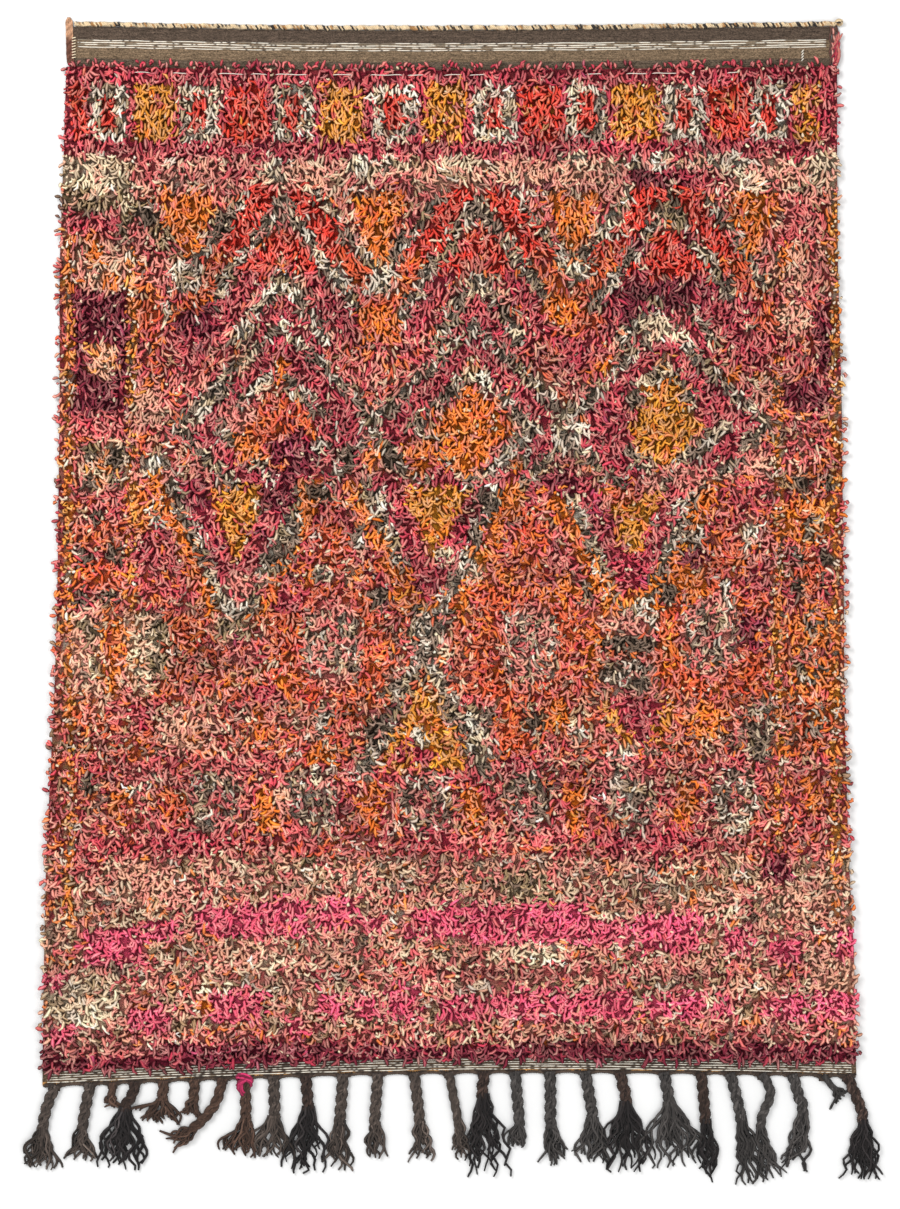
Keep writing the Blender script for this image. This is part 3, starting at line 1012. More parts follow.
pile = {
    "knotAcross": 0.0130, "knotDown": 0.0137, "span": (1.82, 2.22), "jitter": 0.0042,
    "pieces": 5, "sides": 3, "sideInset": 0.004, "headStart": 0.001, "footEnd": 0.006,
    "radius": (0.0030, 0.0038), "length": (0.020, 0.033),   # length as seen from above
    "parts": (0.32, 0.36, 0.32),        # how the length is shared along an end
    "taper": (0.4, 0.92, 1.0, 0.62), "flat": 1.30, "curl": 1.1,
    "luck": (1.5, 1.6, 0.24),           # size of a neighbourhood of one yarn, and who keeps out
    "hang": 0.9,                        # centimetres from a knot to the middle of its ends
    "clumpSize": 6.4, "clumpTurn": 80.0, "stray": 11.0, "neatUntil": (26.0, 32.0), "neat": 0.35,
    "wornThick": 0.12, "wornLight": 0.08, "wornCurl": 1.0,
    "upright": 0.10, "dottedUpright": 0.6, "uprightLength": (0.25, 0.5),   # shares
    "looseShare": 0.10, "fleckShare": 0.03,
    "overBand": 0.016, "overShares": (0.5, 0.3),   # ends of the first two rows that lie upwards
    "rootHeight": 0.0065, "rootApart": 0.0031, "rootStray": (0.0010, 0.0022),
    "lumps": 0.0040, "lumpSizes": (8.5, 3.4), "uneven": 0.0018, "shoulderHeight": 0.93,
    "tipRise": (0.0005, 0.0040), "tipFall": -0.005,
    "rim": (0.004, 0.026), "rimLean": 0.6, "rimShort": 0.45, "rimLow": 0.22,
    "shades": (0.36, 0.96, 1.13, 1.17),  # from the root to the tip
    "flank": 0.42, "streak": 0.24, "streakSize": 1.6, "fade": 0.50, "fadeSize": 6.5,
    "shade": 0.12, "ownShade": 0.14,
    "pale": linear(250, 214, 192), "crest": (0.04, 0.46),   # bleached wool on the crests
    "crestPlace": (0.0, 0.7, 1.0, 1.0), "darkWool": 0.09, "darkCrest": 0.45,
    # where the rows part and a shadow shows: from and to across, down
    "creases": [(-4.0, 27.0, 36.4), (18.0, 52.0, 59.2), (10.0, 34.0, 96.4), (-62.0, -40.0, 71.0),
                (-12.0, 12.0, 129.6), (40.0, 66.0, 148.4), (-30.0, 10.0, 184.0),
                (30.0, 62.0, 189.4), (-50.0, -20.0, 210.0), (4.0, 60.0, 209.0),
                (-74.0, -52.0, 129.4)],
    "creaseWide": 1.6, "creaseEnd": 2.0, "creaseDark": 0.5, "creaseDeep": 0.005,
}


def pileKnots():
    wide, long = pile["span"]
    rows, columns = int(long / pile["knotDown"]), int(wide / pile["knotAcross"])
    places = np.concatenate([[0.0], (np.arange(rows) + 0.5) / rows])
    share, place = np.meshgrid((np.arange(columns) + 0.5) / columns, places)
    share, place = share.ravel(), place.ravel()
    top = headEdge(share) - rug["headBand"] - pile["headStart"]
    y = top + (footEdge(share) + rug["footBand"] + pile["footEnd"] - top) * place
    y = y + dice.normal(0.0, pile["jitter"] / 2.0, len(y))
    left, right = sidesAt(y)
    inset = pile["sideInset"]
    x = -left + inset + (left + right - 2.0 * inset) * share
    return x + dice.normal(0.0, pile["jitter"] / 2.0, len(x)), y, place * rows


def creaseDepth(across, down):
    deep = np.zeros(len(across))
    wave = down + 0.8 * softField(across, down, 9.0, 14.0)
    reach = pile["creaseEnd"]
    for start, end, line in pile["creases"]:
        inside = softStep(across, start - reach, start + reach)
        inside = inside * softStep(-across, -end - reach, reach - end)
        near = 1.0 - softStep(np.abs(wave - line), 0.0, pile["creaseWide"])
        deep = np.maximum(deep, inside * near)
    return deep


def knotColors(across, down, deep, aged):
    colors = pickYarns(across, down + pile["hang"], clusterLuck(across, down, *pile["luck"]))
    streak = softField(across / 14.0, down, pile["streakSize"], 21.0) * pile["streak"] * 2.0
    streak = streak + softField(across / 2.4, down, pile["fadeSize"], 25.0) * pile["fade"]
    tone = np.exp(dice.normal(0.0, pile["shade"], len(across)) + streak)
    tone = tone * (1.0 - pile["creaseDark"] * deep) * (1.0 + pile["wornLight"] * aged)
    return colors * tone[:, None]


def endPlan(heading, row, dotted, aged, root):
    # which way each end points, how long it is, and whether it stands or is a cream fleck
    count = len(heading)
    angle = np.radians(heading + dice.normal(0.0, 1.0, count) * pile["stray"] * (1.0 + aged))
    loose = dice.random(count) < pile["looseShare"] * (1.0 + aged)
    angle = np.where(loose, dice.random(count) * math.tau, angle)
    shares = np.where(row < 0.3, *pile["overShares"])
    over = (row < 1.0) & (dice.random(count) < shares)
    angle = np.where(over, math.pi / 2.0 + dice.normal(0.0, 0.4, count), angle)
    length = dice.uniform(*pile["length"], count)
    length = np.where(over, pile["overBand"] * dice.uniform(0.6, 1.1, count), length)
    fleck = dice.random(count) < pile["fleckShare"]
    upright = dice.random(count) < pile["upright"] + pile["dottedUpright"] * dotted
    upright = upright | fleck
    length = np.where(upright, length * dice.uniform(*pile["uprightLength"], count), length)
    # ends near a side lean out over it
    left, right = sidesAt(root[:, 1])
    outLeft = 1.0 - softStep(root[:, 0] + left, *pile["rim"])
    outRight = 1.0 - softStep(right - root[:, 0], *pile["rim"])
    lean, share = dice.random(count), pile["rimLean"]
    angle = np.where(lean < outLeft * share, math.pi + dice.normal(0.0, 0.6, count), angle)
    angle = np.where(lean < outRight * share, dice.normal(0.0, 0.6, count), angle)
    nearSide = np.maximum(outLeft, outRight)
    return angle, length * (1.0 - pile["rimShort"] * nearSide), fleck, upright, nearSide


def endCentres(root, angle, length, turn, top, tipLift, nearSide):
    low = 1.0 - pile["rimLow"] * nearSide
    heights = [root[:, 2], top * pile["shoulderHeight"] * low, top * low, (top + tipLift) * low]
    centres = np.zeros((len(root), len(heights), 3))
    centres[:, 0] = root
    for ring, share in enumerate(pile["parts"], start=1):
        facing = angle + turn * (ring - 1)
        centres[:, ring, 0] = centres[:, ring - 1, 0] + np.cos(facing) * length * share
        centres[:, ring, 1] = centres[:, ring - 1, 1] + np.sin(facing) * length * share
        centres[:, ring, 2] = heights[ring]
    return centres


def endTints(colors, fleck):
    count = len(colors)
    own = np.exp(dice.normal(0.0, pile["ownShade"], count))
    tints = np.where(fleck[:, None], yarnColors["cream"] * 0.95, colors)
    tints = tints[:, None] * np.array(pile["shades"])[None, :, None] * own[:, None, None]
    least, most = pile["crest"]
    pale = least + (most - least) * dice.random((count, 1)) ** 2.0
    crest = np.array(pile["crestPlace"]) * pale
    dark = tints.mean(axis=(1, 2)) < pile["darkWool"]
    return tints, crest * np.where(dark, pile["darkCrest"], 1.0)[:, None]


def buildPile():
    knotX, knotY, knotRow = pileKnots()
    across, down = knotX * 100.0, (rug["headLine"] - knotY) * 100.0
    deep, aged = creaseDepth(across, down), softStep(down, *worn)
    colors = knotColors(across, down, deep, aged)
    swing = pile["neat"] + (1.0 - pile["neat"]) * softStep(down, *pile["neatUntil"])
    swing = pile["clumpTurn"] * swing * softField(across, down, pile["clumpSize"], 31.0)
    wide, narrow = pile["lumpSizes"]
    lumps = softField(across, down, wide, 0.0) + softField(across / 4.0, down, narrow, 8.0)
    lumps = lumps * pile["lumps"]
    dotted = np.min([np.abs(across - line[0][0]) for line in borders["lines"]], axis=0) < 1.1

    pair = np.repeat(np.arange(len(knotX)), 2)         # two ends for each knot
    count = len(pair)
    aged, apart = aged[pair], pile["rootApart"]
    root = np.stack([knotX[pair], knotY[pair], np.full(count, pile["rootHeight"])], -1)
    strayX, strayY = pile["rootStray"]
    root[:, 0] += np.tile([-apart, apart], len(knotX)) + dice.normal(0.0, strayX, count)
    root[:, 1] += dice.normal(0.0, strayY, count)
    angle, length, fleck, upright, nearSide = endPlan(-90.0 + swing[pair], knotRow[pair],
                                                      dotted[pair], aged, root)
    turn = dice.normal(0.0, pile["curl"] / 2.0, count) * (1.0 + pile["wornCurl"] * aged)
    top = rug["pileThick"] - 0.001 + lumps[pair] - pile["creaseDeep"] * deep[pair]
    top = top + dice.normal(0.0, pile["uneven"], count)
    tipLift = np.where(upright, dice.uniform(*pile["tipRise"], count),
                       dice.uniform(pile["tipFall"], 0.0, count))
    centres = endCentres(root, angle, length, turn, top, tipLift, nearSide)
    radius = dice.uniform(*pile["radius"], count) * (1.0 + pile["wornThick"] * aged)
    radii = radius[:, None] * np.array(pile["taper"])
    tints, crest = endTints(colors[pair], fleck)
    made = []
    for number in range(pile["pieces"]):
        part = slice(number, count, pile["pieces"])
        group = strands(centres[part], radii[part], tints[part], pile["sides"], pile["flank"])
        group.update(crest=crest[part], pale=pile["pale"], rooted=True, flat=pile["flat"])
        piece = yarnMesh(f"pile_ends_{number + 1}", [group], pileWool)
        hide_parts("pile_cloth")
        made.append(piece)
    return made


pilePieces = buildPile()
print("pile", sum(len(piece.data.polygons) for piece in pilePieces), "faces")


# White wefts: thin broken lines on both flat bands, and one that shows in the first pile rows

weftLines = {
    "head": (0.0295, 0.0345, 0.0395, 0.0445), "foot": (0.0060, 0.0114, 0.0168, 0.0222, 0.0276),
    "radius": 0.0016, "stations": 360, "inset": 0.006,    # inset is a share of the width
    "sway": 0.0005, "swayLength": 0.019, "rise": 0.0006, "bump": 0.0004, "bumpLength": 0.0048,
    "wornBelow": (-0.20, -0.55), "wornLength": 0.034, "darkShare": (0.08, 0.20),
    "white": linear(242, 235, 220), "grey": linear(140, 128, 110), "dark": linear(74, 66, 58),
    # the weft over the first pile rows, in centimetres across
    "overPile": [(-69.0, -65.0), (-60.5, -57.4), (-50.6, -44.8), (-43.4, -39.6), (-38.0, -30.6),
                 (-25.6, -21.0), (-17.2, -10.0), (-9.0, -5.4), (-1.0, 3.4), (4.4, 8.4),
                 (30.0, 33.6), (39.0, 43.6), (44.6, 50.4), (61.0, 64.0)],
    "overPileDepth": 0.1010, "overPileHeight": 0.0228, "endHeight": 0.0170, "threadRadius": 0.0013,
    # a short row of cream stitches: x, y, pitch, how many
    "mark": (0.777, 1.096, 0.0062, 4), "markHalf": (0.0022, 0.0028), "markHeight": (0.0056, 0.0074),
}


def weftTint(x, line, wornBelow, darkShare):
    soft = np.array([noise.noise(Vector((value / weftLines["wornLength"], line * 900.0, 4.0)))
                     for value in x])
    tint = np.where((soft < wornBelow)[:, None], weftLines["grey"], weftLines["white"])
    speck = dice.random(len(x))
    tint = np.where((speck < darkShare)[:, None], weftLines["dark"], tint)
    return tint * (0.92 + 0.22 * dice.random((len(x), 1)))


def bandWefts(kind, inset, wornBelow, darkShare):
    share = np.linspace(weftLines["inset"], 1.0 - weftLines["inset"], weftLines["stations"])
    groups = []
    for line in weftLines[kind]:
        y = headEdge(share) - line if kind == "head" else footEdge(share) + line
        left, right = sidesAt(float(y.mean()))
        x = inset[0] - left + (left + right - inset[0] - inset[1]) * share
        y = y + weftLines["sway"] * np.sin(x / weftLines["swayLength"] + line * 3000.0)
        z = ground["bandThick"] + weftLines["rise"]
        z = z + weftLines["bump"] * np.sin(x / weftLines["bumpLength"])
        groups.append(strands(np.stack([x, y, z], -1), weftLines["radius"],
                              weftTint(x, line, wornBelow, darkShare), 3, 0.80))
    return groups


def markStitches():
    x, y, pitch, count = weftLines["mark"]
    wide, high = weftLines["markHalf"]
    low, top = weftLines["markHeight"]
    lines = [[(x - wide, y - pitch * i - high, low), (x, y - pitch * i, top),
              (x + wide, y - pitch * i + high, low)] for i in range(count)]
    return strands(lines, weftLines["threadRadius"], weftLines["white"], 4, 0.7)


def overPileWeft(start, end):
    width = sum(sidesAt(rug["headLine"]))
    x = np.arange(start, end, 0.5) * 0.01
    y = headEdge((x + width / 2.0) / width) - weftLines["overPileDepth"]
    z = np.full(len(x), weftLines["overPileHeight"]) + 0.0008 * np.sin(x / 0.004)
    z[[0, -1]] = weftLines["endHeight"]
    centres = np.stack([x, y + 0.0006 * np.sin(x / 0.01), z], -1)
    return strands(centres, weftLines["threadRadius"], weftLines["white"], 3, 0.6)


def buildWeftLines():
    insets = (rug["headInset"], (rug["footInset"],) * 2)
    groups = []
    for kind, inset, wornBelow, darkShare in zip(("head", "foot"), insets, weftLines["wornBelow"],
                                                 weftLines["darkShare"]):
        groups += bandWefts(kind, inset, wornBelow, darkShare)
    groups.append(markStitches())
    groups += [overPileWeft(start, end) for start, end in weftLines["overPile"]]
    piece = yarnMesh("white_wefts", groups, cordWool)
    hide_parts("pile_cloth")
    return piece


weftPiece = buildWeftLines()


# Head cord, binding and wrap

headCord = {
    "plies": 3, "plyRadius": 0.0029, "twist": 0.0125, "stations": 460,
    "ends": (0.003, 0.013),       # room left at the left and right end of the head
    "above": 0.0052, "height": 0.0066, "reach": (0.0040, 0.0030),  # of a ply, along and upright
    "uneven": 0.10, "shade": 0.12, "speckShare": 0.26, "tanShare": 0.12,
    "cream": linear(232, 206, 166), "tan": linear(182, 134, 82), "speck": linear(44, 38, 34),
    # the knot at the right corner: loops of yarn round each other
    "loopTilts": (0.1, 0.9, 1.7, 2.5), "loopSize": (0.0068, 0.0056, 0.0050), "loopTurns": 1.6,
    "loopStations": 34, "loopRadius": 0.0023, "knotInset": 0.0110, "knotHeight": 0.0095,
}


def cordKnot(right, y):
    centre = np.array([right - headCord["knotInset"], y + 0.002, headCord["knotHeight"]])
    angle = np.linspace(0.0, math.tau * headCord["loopTurns"], headCord["loopStations"])
    wide, deep, high = headCord["loopSize"]
    loops = []
    for number, tilt in enumerate(headCord["loopTilts"]):
        loop = np.stack([np.cos(angle + tilt) * wide, np.sin(angle) * deep * math.cos(tilt),
                         np.sin(angle + tilt) * high], -1) + centre
        yarn = headCord["speck"] if number == 2 else headCord["cream"] * (0.75 + 0.1 * number)
        loops.append(strands(loop, headCord["loopRadius"], yarn, 5, 0.5))
    return loops


def buildHeadCord():
    low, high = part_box("head_cord")
    share = np.linspace(0.0, 1.0, headCord["stations"])
    leftEnd, rightEnd = headCord["ends"]
    x = low[0] + leftEnd + (high[0] - (leftEnd + rightEnd) - low[0]) * share
    y = headEdge(share) + headCord["above"] + 0.0004 * np.sin(x / 0.031)
    turn = share * (high[0] - low[0]) / headCord["twist"] * math.tau
    reach, rise = headCord["reach"]
    groups = []
    for ply in range(headCord["plies"]):
        phase = turn + math.tau * ply / headCord["plies"]
        centres = np.stack([x, y + reach * np.cos(phase),
                            headCord["height"] + rise * np.sin(phase)], -1)
        tint = headCord["cream"] * np.exp(dice.normal(0.0, headCord["shade"], (len(x), 1)))
        block = np.repeat(dice.random(len(x) // 2 + 1), 2)[:len(x)]      # flecks two stations long
        tint = np.where((block < headCord["speckShare"])[:, None], headCord["speck"], tint)
        tint = np.where((block > 1.0 - headCord["tanShare"])[:, None], headCord["tan"], tint)
        radii = headCord["plyRadius"] * np.exp(dice.normal(0.0, headCord["uneven"], (1, len(x))))
        groups.append(strands(centres, radii, tint, 4, 0.55))
    groups += cordKnot(high[0], y[-1])
    piece = yarnMesh("head_cord_twine", groups, cordWool)
    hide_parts("head_cord")
    return piece


buildHeadCord()

binding = {  # the left edge is whipped with flat yarns, tan at the top, with cream stitches
    "yarns": 5, "stations": 30, "radius": 0.0023, "height": 0.0043, "ripple": 0.0012,
    "edge": 0.0044, "sway": 0.0009, "drift": (-0.0012, 0.0032), "tanUntil": (0.36, 0.50),
    "brown": linear(112, 74, 60), "tan": linear(196, 150, 118), "stitch": linear(232, 214, 184),
    "stitches": 8, "stitchStart": 0.046, "stitchPitch": 0.0062, "stitchRadius": 0.0013,
    "stitchInset": 0.003, "stitchReach": (0.0085, 0.0022), "stitchHeight": (0.0072, 0.0010),
}


def buildLeftBinding():
    low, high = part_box("left_binding")
    count, stations = binding["yarns"], binding["stations"]
    along = np.linspace(0.0, 1.0, stations)
    ends = 1.0 - 0.75 * (1.0 - softStep(along, 0.0, 0.09)) - 0.5 * softStep(along, 0.93, 1.0)
    tan = (1.0 - softStep(along, *binding["tanUntil"]))[:, None]
    base = binding["tan"] * tan + binding["brown"] * (1.0 - tan)
    start, drift = binding["drift"]
    groups = []
    for number in range(count):
        lane = (number / (count - 1) - 0.5) * (high[0] - low[0] - binding["edge"])
        sway = np.array([noise.noise(Vector((number * 3.0, t * 6.0, 0.0))) for t in along])
        x = (low[0] + high[0]) / 2.0 + lane * ends + start + drift * along + binding["sway"] * sway
        z = binding["height"] + binding["ripple"] * np.sin(along * 60.0 + number * 2.0)
        centres = np.stack([x, high[1] + (low[1] - high[1]) * along, z], -1)
        tint = base * (0.9 + 0.25 * np.sin(along * 40.0 + number)[:, None])
        groups.append(strands(centres, binding["radius"], tint, 6, 0.5))
    slant = np.linspace(0.0, 1.0, 4)
    reach, climb = binding["stitchReach"]
    top, fall = binding["stitchHeight"]
    stitches = []
    for number in range(binding["stitches"]):
        y = high[1] - binding["stitchStart"] - binding["stitchPitch"] * number
        stitches.append(np.stack([high[0] - binding["stitchInset"] + reach * slant,
                                  y + climb * slant, top - fall * slant], -1))
    groups.append(strands(stitches, binding["stitchRadius"], binding["stitch"], 5, 0.7))
    piece = yarnMesh("left_binding_whip", groups, bindingLeather)
    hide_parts("left_binding")
    return piece


wrap = {  # a dark edge, loose rose stitches over it, and long rose ends that hang beside it
    "lanes": (-0.72, -0.28, 0.16, 0.56),     # shares of half the width
    "edgeRadius": 0.0026, "edgeHeight": 0.0042, "edgeStations": 24, "edge": linear(92, 60, 50),
    "stitches": 5, "stitchEnd": 0.003, "stitchRadius": 0.0021, "stitchHeight": (0.0050, 0.0034),
    "rose": linear(196, 96, 92), "blush": linear(232, 178, 160), "stations": 7,
    "tufts": 30, "tuftYarns": ("rose", "dusty", "dusty", "crimson"), "tuftRadius": 0.0027,
    "tuftLength": (0.018, 0.034), "tuftStart": (0.004, 0.012), "tuftSpread": (-0.005, 0.0030),
    "tuftTaper": (0.7, 1.0, 1.0, 1.0, 0.95, 0.85, 0.5),
}


def wrapEdges(low, high, middle, wide):
    along = np.linspace(0.0, 1.0, wrap["edgeStations"])
    y = high[1] + (low[1] - high[1]) * along
    groups = []
    for lane in wrap["lanes"]:
        x = middle + wide * (lane + 0.12 * np.sin(along * 17.0 + lane * 9.0))
        z = wrap["edgeHeight"] + 0.0010 * np.sin(along * 50.0 + lane * 7.0)
        tint = wrap["edge"] * np.exp(dice.normal(0.0, 0.15, (len(y), 1)))
        groups.append(strands(np.stack([x, y, z], -1), wrap["edgeRadius"], tint, 5, 0.5))
    return groups


def wrapStitches(low, high, middle, wide, share):
    end = wrap["stitchEnd"]
    pitch = (high[1] - low[1] - 2.0 * end) / wrap["stitches"]
    base, rise = wrap["stitchHeight"]
    groups = []
    for number in range(wrap["stitches"]):
        y = high[1] - end - pitch * (number + 0.5)
        slant = dice.normal(0.0, 0.25)
        stitch = np.stack([middle + wide * (dice.uniform(-0.45, 0.1) + slant * (share - 0.5)),
                           y + pitch * 0.40 * (1.0 - 2.0 * share),
                           base + rise * np.sin(share * math.pi)], -1)
        mixed = np.clip(np.sin(share * math.pi) * dice.uniform(0.3, 1.0), 0.0, 1.0)[:, None]
        tint = wrap["rose"] * (1.0 - mixed) + wrap["blush"] * mixed
        groups.append(strands(stitch, wrap["stitchRadius"], tint, 5, 0.5))
    return groups


def wrapTufts(low, high, share):
    tufts, tints = [], []
    for number in range(wrap["tufts"]):
        y = low[1] + (high[1] - low[1] - 0.030) * dice.random() ** 1.3
        bend = dice.normal(0.0, 0.0030)
        x = high[0] - 0.0025 + dice.uniform(*wrap["tuftSpread"])
        start = dice.uniform(*wrap["tuftStart"])
        tufts.append(np.stack([x - start * (1.0 - share) ** 2 + bend * share ** 2,
                               y - 0.006 + dice.uniform(*wrap["tuftLength"]) * share,
                               0.0050 + 0.0050 * np.sin(share * 2.4) + 0.002 * dice.random()], -1))
        tone = yarnColors[wrap["tuftYarns"][number % len(wrap["tuftYarns"])]]
        tints.append(tone * dice.uniform(0.62, 0.98))
    radii = np.array(wrap["tuftTaper"]) * wrap["tuftRadius"]
    return strands(tufts, radii, np.array(tints)[:, None], 4, 0.45)


def buildRightWrap():
    low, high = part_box("right_wrap")
    middle, wide = (low[0] + high[0]) / 2.0, (high[0] - low[0]) / 2.0
    share = np.linspace(0.0, 1.0, wrap["stations"])
    groups = wrapEdges(low, high, middle, wide)
    groups += wrapStitches(low, high, middle, wide, share)
    groups.append(wrapTufts(low, high, share))
    piece = yarnMesh("right_wrap_overcast", groups, cordWool)
    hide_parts("right_wrap")
    return piece


buildLeftBinding()
buildRightWrap()
print("head cord, binding and wrap")


# Braids

plait = {
    "gap": 0.0003, "pitch": 0.072,       # length of one strand's way across and back
    "strands": 3, "strandRadius": 0.0058, "yarnRadius": 0.0029, "yarnsPerStrand": 5,
    "twist": 0.026, "step": 0.0045, "base": 0.0022, "rise": 0.0012, "flank": 0.38,
    "shade": (0.20, 0.26),               # from place to place, and from yarn to yarn
    "span": (0.0, 2.06),                 # from and to on the route: 0 is the root, 2 the end
}
tassel = {
    "span": (1.96, 3.0), "step": 0.004, "stations": 13, "yarns": 21, "fewest": 7,
    "radius": (0.0028, 0.0043), "taper": (1.0, 0.95, 0.6),
    "reach": (0.58, 1.06), "openUntil": 0.62, "root": 0.62, "spread": 1.12,  # shares
    "curlLength": (0.0072, 0.0120), "curl": (0.0030, 0.0095), "hook": 0.014, "stray": 0.14,
    "height": (0.0030, 0.0105), "lowest": 0.0022, "shade": (0.42, 0.16),
}
web = {  # dark ends of the warp that gather from the foot edge into the root of a braid
    "yarns": 9, "spread": 0.021, "gather": 0.0085, "depth": 0.013, "stations": 6,
    "above": 0.0030, "height": (0.0046, 0.0040), "radii": (0.0016, 0.0024, 0.0024), "shade": 0.20,
}
woolKnot = {  # a chunky knot of thick wool round the head of one braid
    "braid": 8, "loops": 13, "stations": 15, "turns": 1.1, "radius": 0.0031, "shade": 0.45,
    "wide": 0.0165, "high": 0.0120, "drop": 0.0110, "pitch": 0.0019,
    "lean": (-0.9, 0.15, 0.25),          # of the first loop, more for each loop, and its spread
    "height": (0.0120, 0.0068),
}
braidYarns = {
    "grey": linear(80, 70, 64), "brown": linear(80, 60, 50), "black": linear(40, 36, 36),
    "slate": linear(72, 68, 66), "magenta": linear(150, 38, 74), "web": linear(66, 54, 47),
}
# root, knee, knee drop, end, end drop, tip, tip drop, width, spread, yarn;
# places across are from the middle and drops from the foot edge
braids = [
    (-0.865, -0.884, 0.050, -0.893, 0.095, -0.905, 0.183, 0.026, 0.054, "grey"),
    (-0.788, -0.798, 0.050, -0.805, 0.095, -0.812, 0.169, 0.026, 0.034, "grey"),
    (-0.739, -0.740, 0.014, -0.742, 0.028, -0.744, 0.056, 0.018, 0.020, "brown"),
    (-0.689, -0.697, 0.032, -0.711, 0.060, -0.724, 0.192, 0.026, 0.062, "black"),
    (-0.627, -0.628, 0.022, -0.630, 0.042, -0.637, 0.094, 0.026, 0.072, "brown"),
    (-0.559, -0.560, 0.028, -0.563, 0.050, -0.572, 0.080, 0.025, 0.026, "brown"),
    (-0.497, -0.515, 0.058, -0.562, 0.110, -0.618, 0.146, 0.024, 0.024, "brown"),
    (-0.449, -0.447, 0.046, -0.447, 0.092, -0.460, 0.172, 0.026, 0.056, "brown"),
    (-0.385, -0.384, 0.044, -0.383, 0.088, -0.389, 0.178, 0.027, 0.058, "grey"),
    (-0.315, -0.312, 0.036, -0.310, 0.070, -0.315, 0.216, 0.027, 0.056, "black"),
    (-0.233, -0.236, 0.052, -0.240, 0.103, -0.246, 0.211, 0.027, 0.034, "grey"),
    (-0.156, -0.160, 0.054, -0.163, 0.108, -0.161, 0.187, 0.026, 0.028, "grey"),
    (-0.077, -0.070, 0.054, -0.064, 0.108, -0.055, 0.196, 0.026, 0.030, "grey"),
    (0.000, 0.010, 0.054, 0.020, 0.108, 0.029, 0.191, 0.021, 0.020, "grey"),
    (0.077, 0.075, 0.026, 0.073, 0.050, 0.076, 0.231, 0.027, 0.058, "black"),
    (0.145, 0.150, 0.057, 0.154, 0.114, 0.147, 0.165, 0.026, 0.034, "slate"),
    (0.222, 0.223, 0.060, 0.224, 0.121, 0.238, 0.205, 0.027, 0.034, "slate"),
    (0.299, 0.308, 0.052, 0.315, 0.104, 0.312, 0.200, 0.027, 0.044, "slate"),
    (0.376, 0.383, 0.034, 0.389, 0.066, 0.392, 0.220, 0.027, 0.072, "black"),
    (0.473, 0.478, 0.034, 0.484, 0.066, 0.493, 0.209, 0.027, 0.084, "slate"),
    (0.554, 0.559, 0.052, 0.563, 0.104, 0.568, 0.242, 0.026, 0.030, "black"),
    (0.618, 0.631, 0.050, 0.641, 0.098, 0.664, 0.244, 0.026, 0.036, "slate"),
    (0.688, 0.706, 0.044, 0.685, 0.114, 0.711, 0.231, 0.022, 0.024, "slate"),
    (0.755, 0.767, 0.044, 0.777, 0.086, 0.757, 0.209, 0.026, 0.036, "slate"),
    (0.823, 0.836, 0.018, 0.849, 0.032, 0.866, 0.050, 0.014, 0.012, "slate"),
    (0.874, 0.896, 0.050, 0.909, 0.099, 0.906, 0.228, 0.026, 0.054, "black"),
]


def smoothRoute(points, place):
    # The smooth curve through the points; place counts them from 0
    start = np.clip(place.astype(int), 0, len(points) - 2)
    share = (place - start)[:, None]
    before, first = points[np.maximum(start - 1, 0)], points[start]
    second, after = points[start + 1], points[np.minimum(start + 2, len(points) - 1)]
    pull = (second - before) * share + (2 * before - 5 * first + 4 * second - after) * share ** 2
    return first + 0.5 * (pull + (3 * first - before - 3 * second + after) * share ** 3)


def alongRoute(points, begin, end, step):
    # Stations at even steps between two places on the route, and the direction across it
    fine = smoothRoute(points, np.linspace(begin, end, 120))
    length = np.concatenate([[0.0], np.cumsum(np.linalg.norm(np.diff(fine, axis=0), axis=1))])
    count = max(int(length[-1] / step), 4) + 1
    at = np.linspace(0.0, length[-1], count)
    centres = np.stack([np.interp(at, length, fine[:, axis]) for axis in range(2)], -1)
    run = np.gradient(centres, axis=0)
    run = run / np.linalg.norm(run, axis=1, keepdims=True)
    return at, centres, np.stack([-run[:, 1], run[:, 0]], -1)


def plaitYarns(points, width, tint):
    at, centres, across = alongRoute(points, *plait["span"], plait["step"])
    strandRadius, yarnRadius = plait["strandRadius"], plait["yarnRadius"]
    sway = width / 2.0 - strandRadius * 0.95
    reach = strandRadius - yarnRadius * 0.75
    placeShade, yarnShade = plait["shade"]
    yarns, colors = [], []
    for strand in range(plait["strands"]):
        phase = at / plait["pitch"] * math.tau + math.tau * strand / plait["strands"]
        side = sway * np.sin(phase)
        lift = strandRadius + plait["base"] + plait["rise"] * (1.0 + np.sin(2.0 * phase))
        for yarn in range(plait["yarnsPerStrand"]):
            turn = at / plait["twist"] * math.tau + math.tau * yarn / plait["yarnsPerStrand"]
            offset = side + reach * np.cos(turn)
            height = np.maximum(lift + reach * np.sin(turn) * 0.85, yarnRadius * 0.9)
            yarns.append(np.concatenate([centres + across * offset[:, None], height[:, None]], 1))
            shade = dice.normal(0.0, placeShade, (len(at), 1)) + dice.normal(0.0, yarnShade)
            colors.append(tint * np.exp(shade))
    return strands(yarns, yarnRadius, colors, 4, plait["flank"])


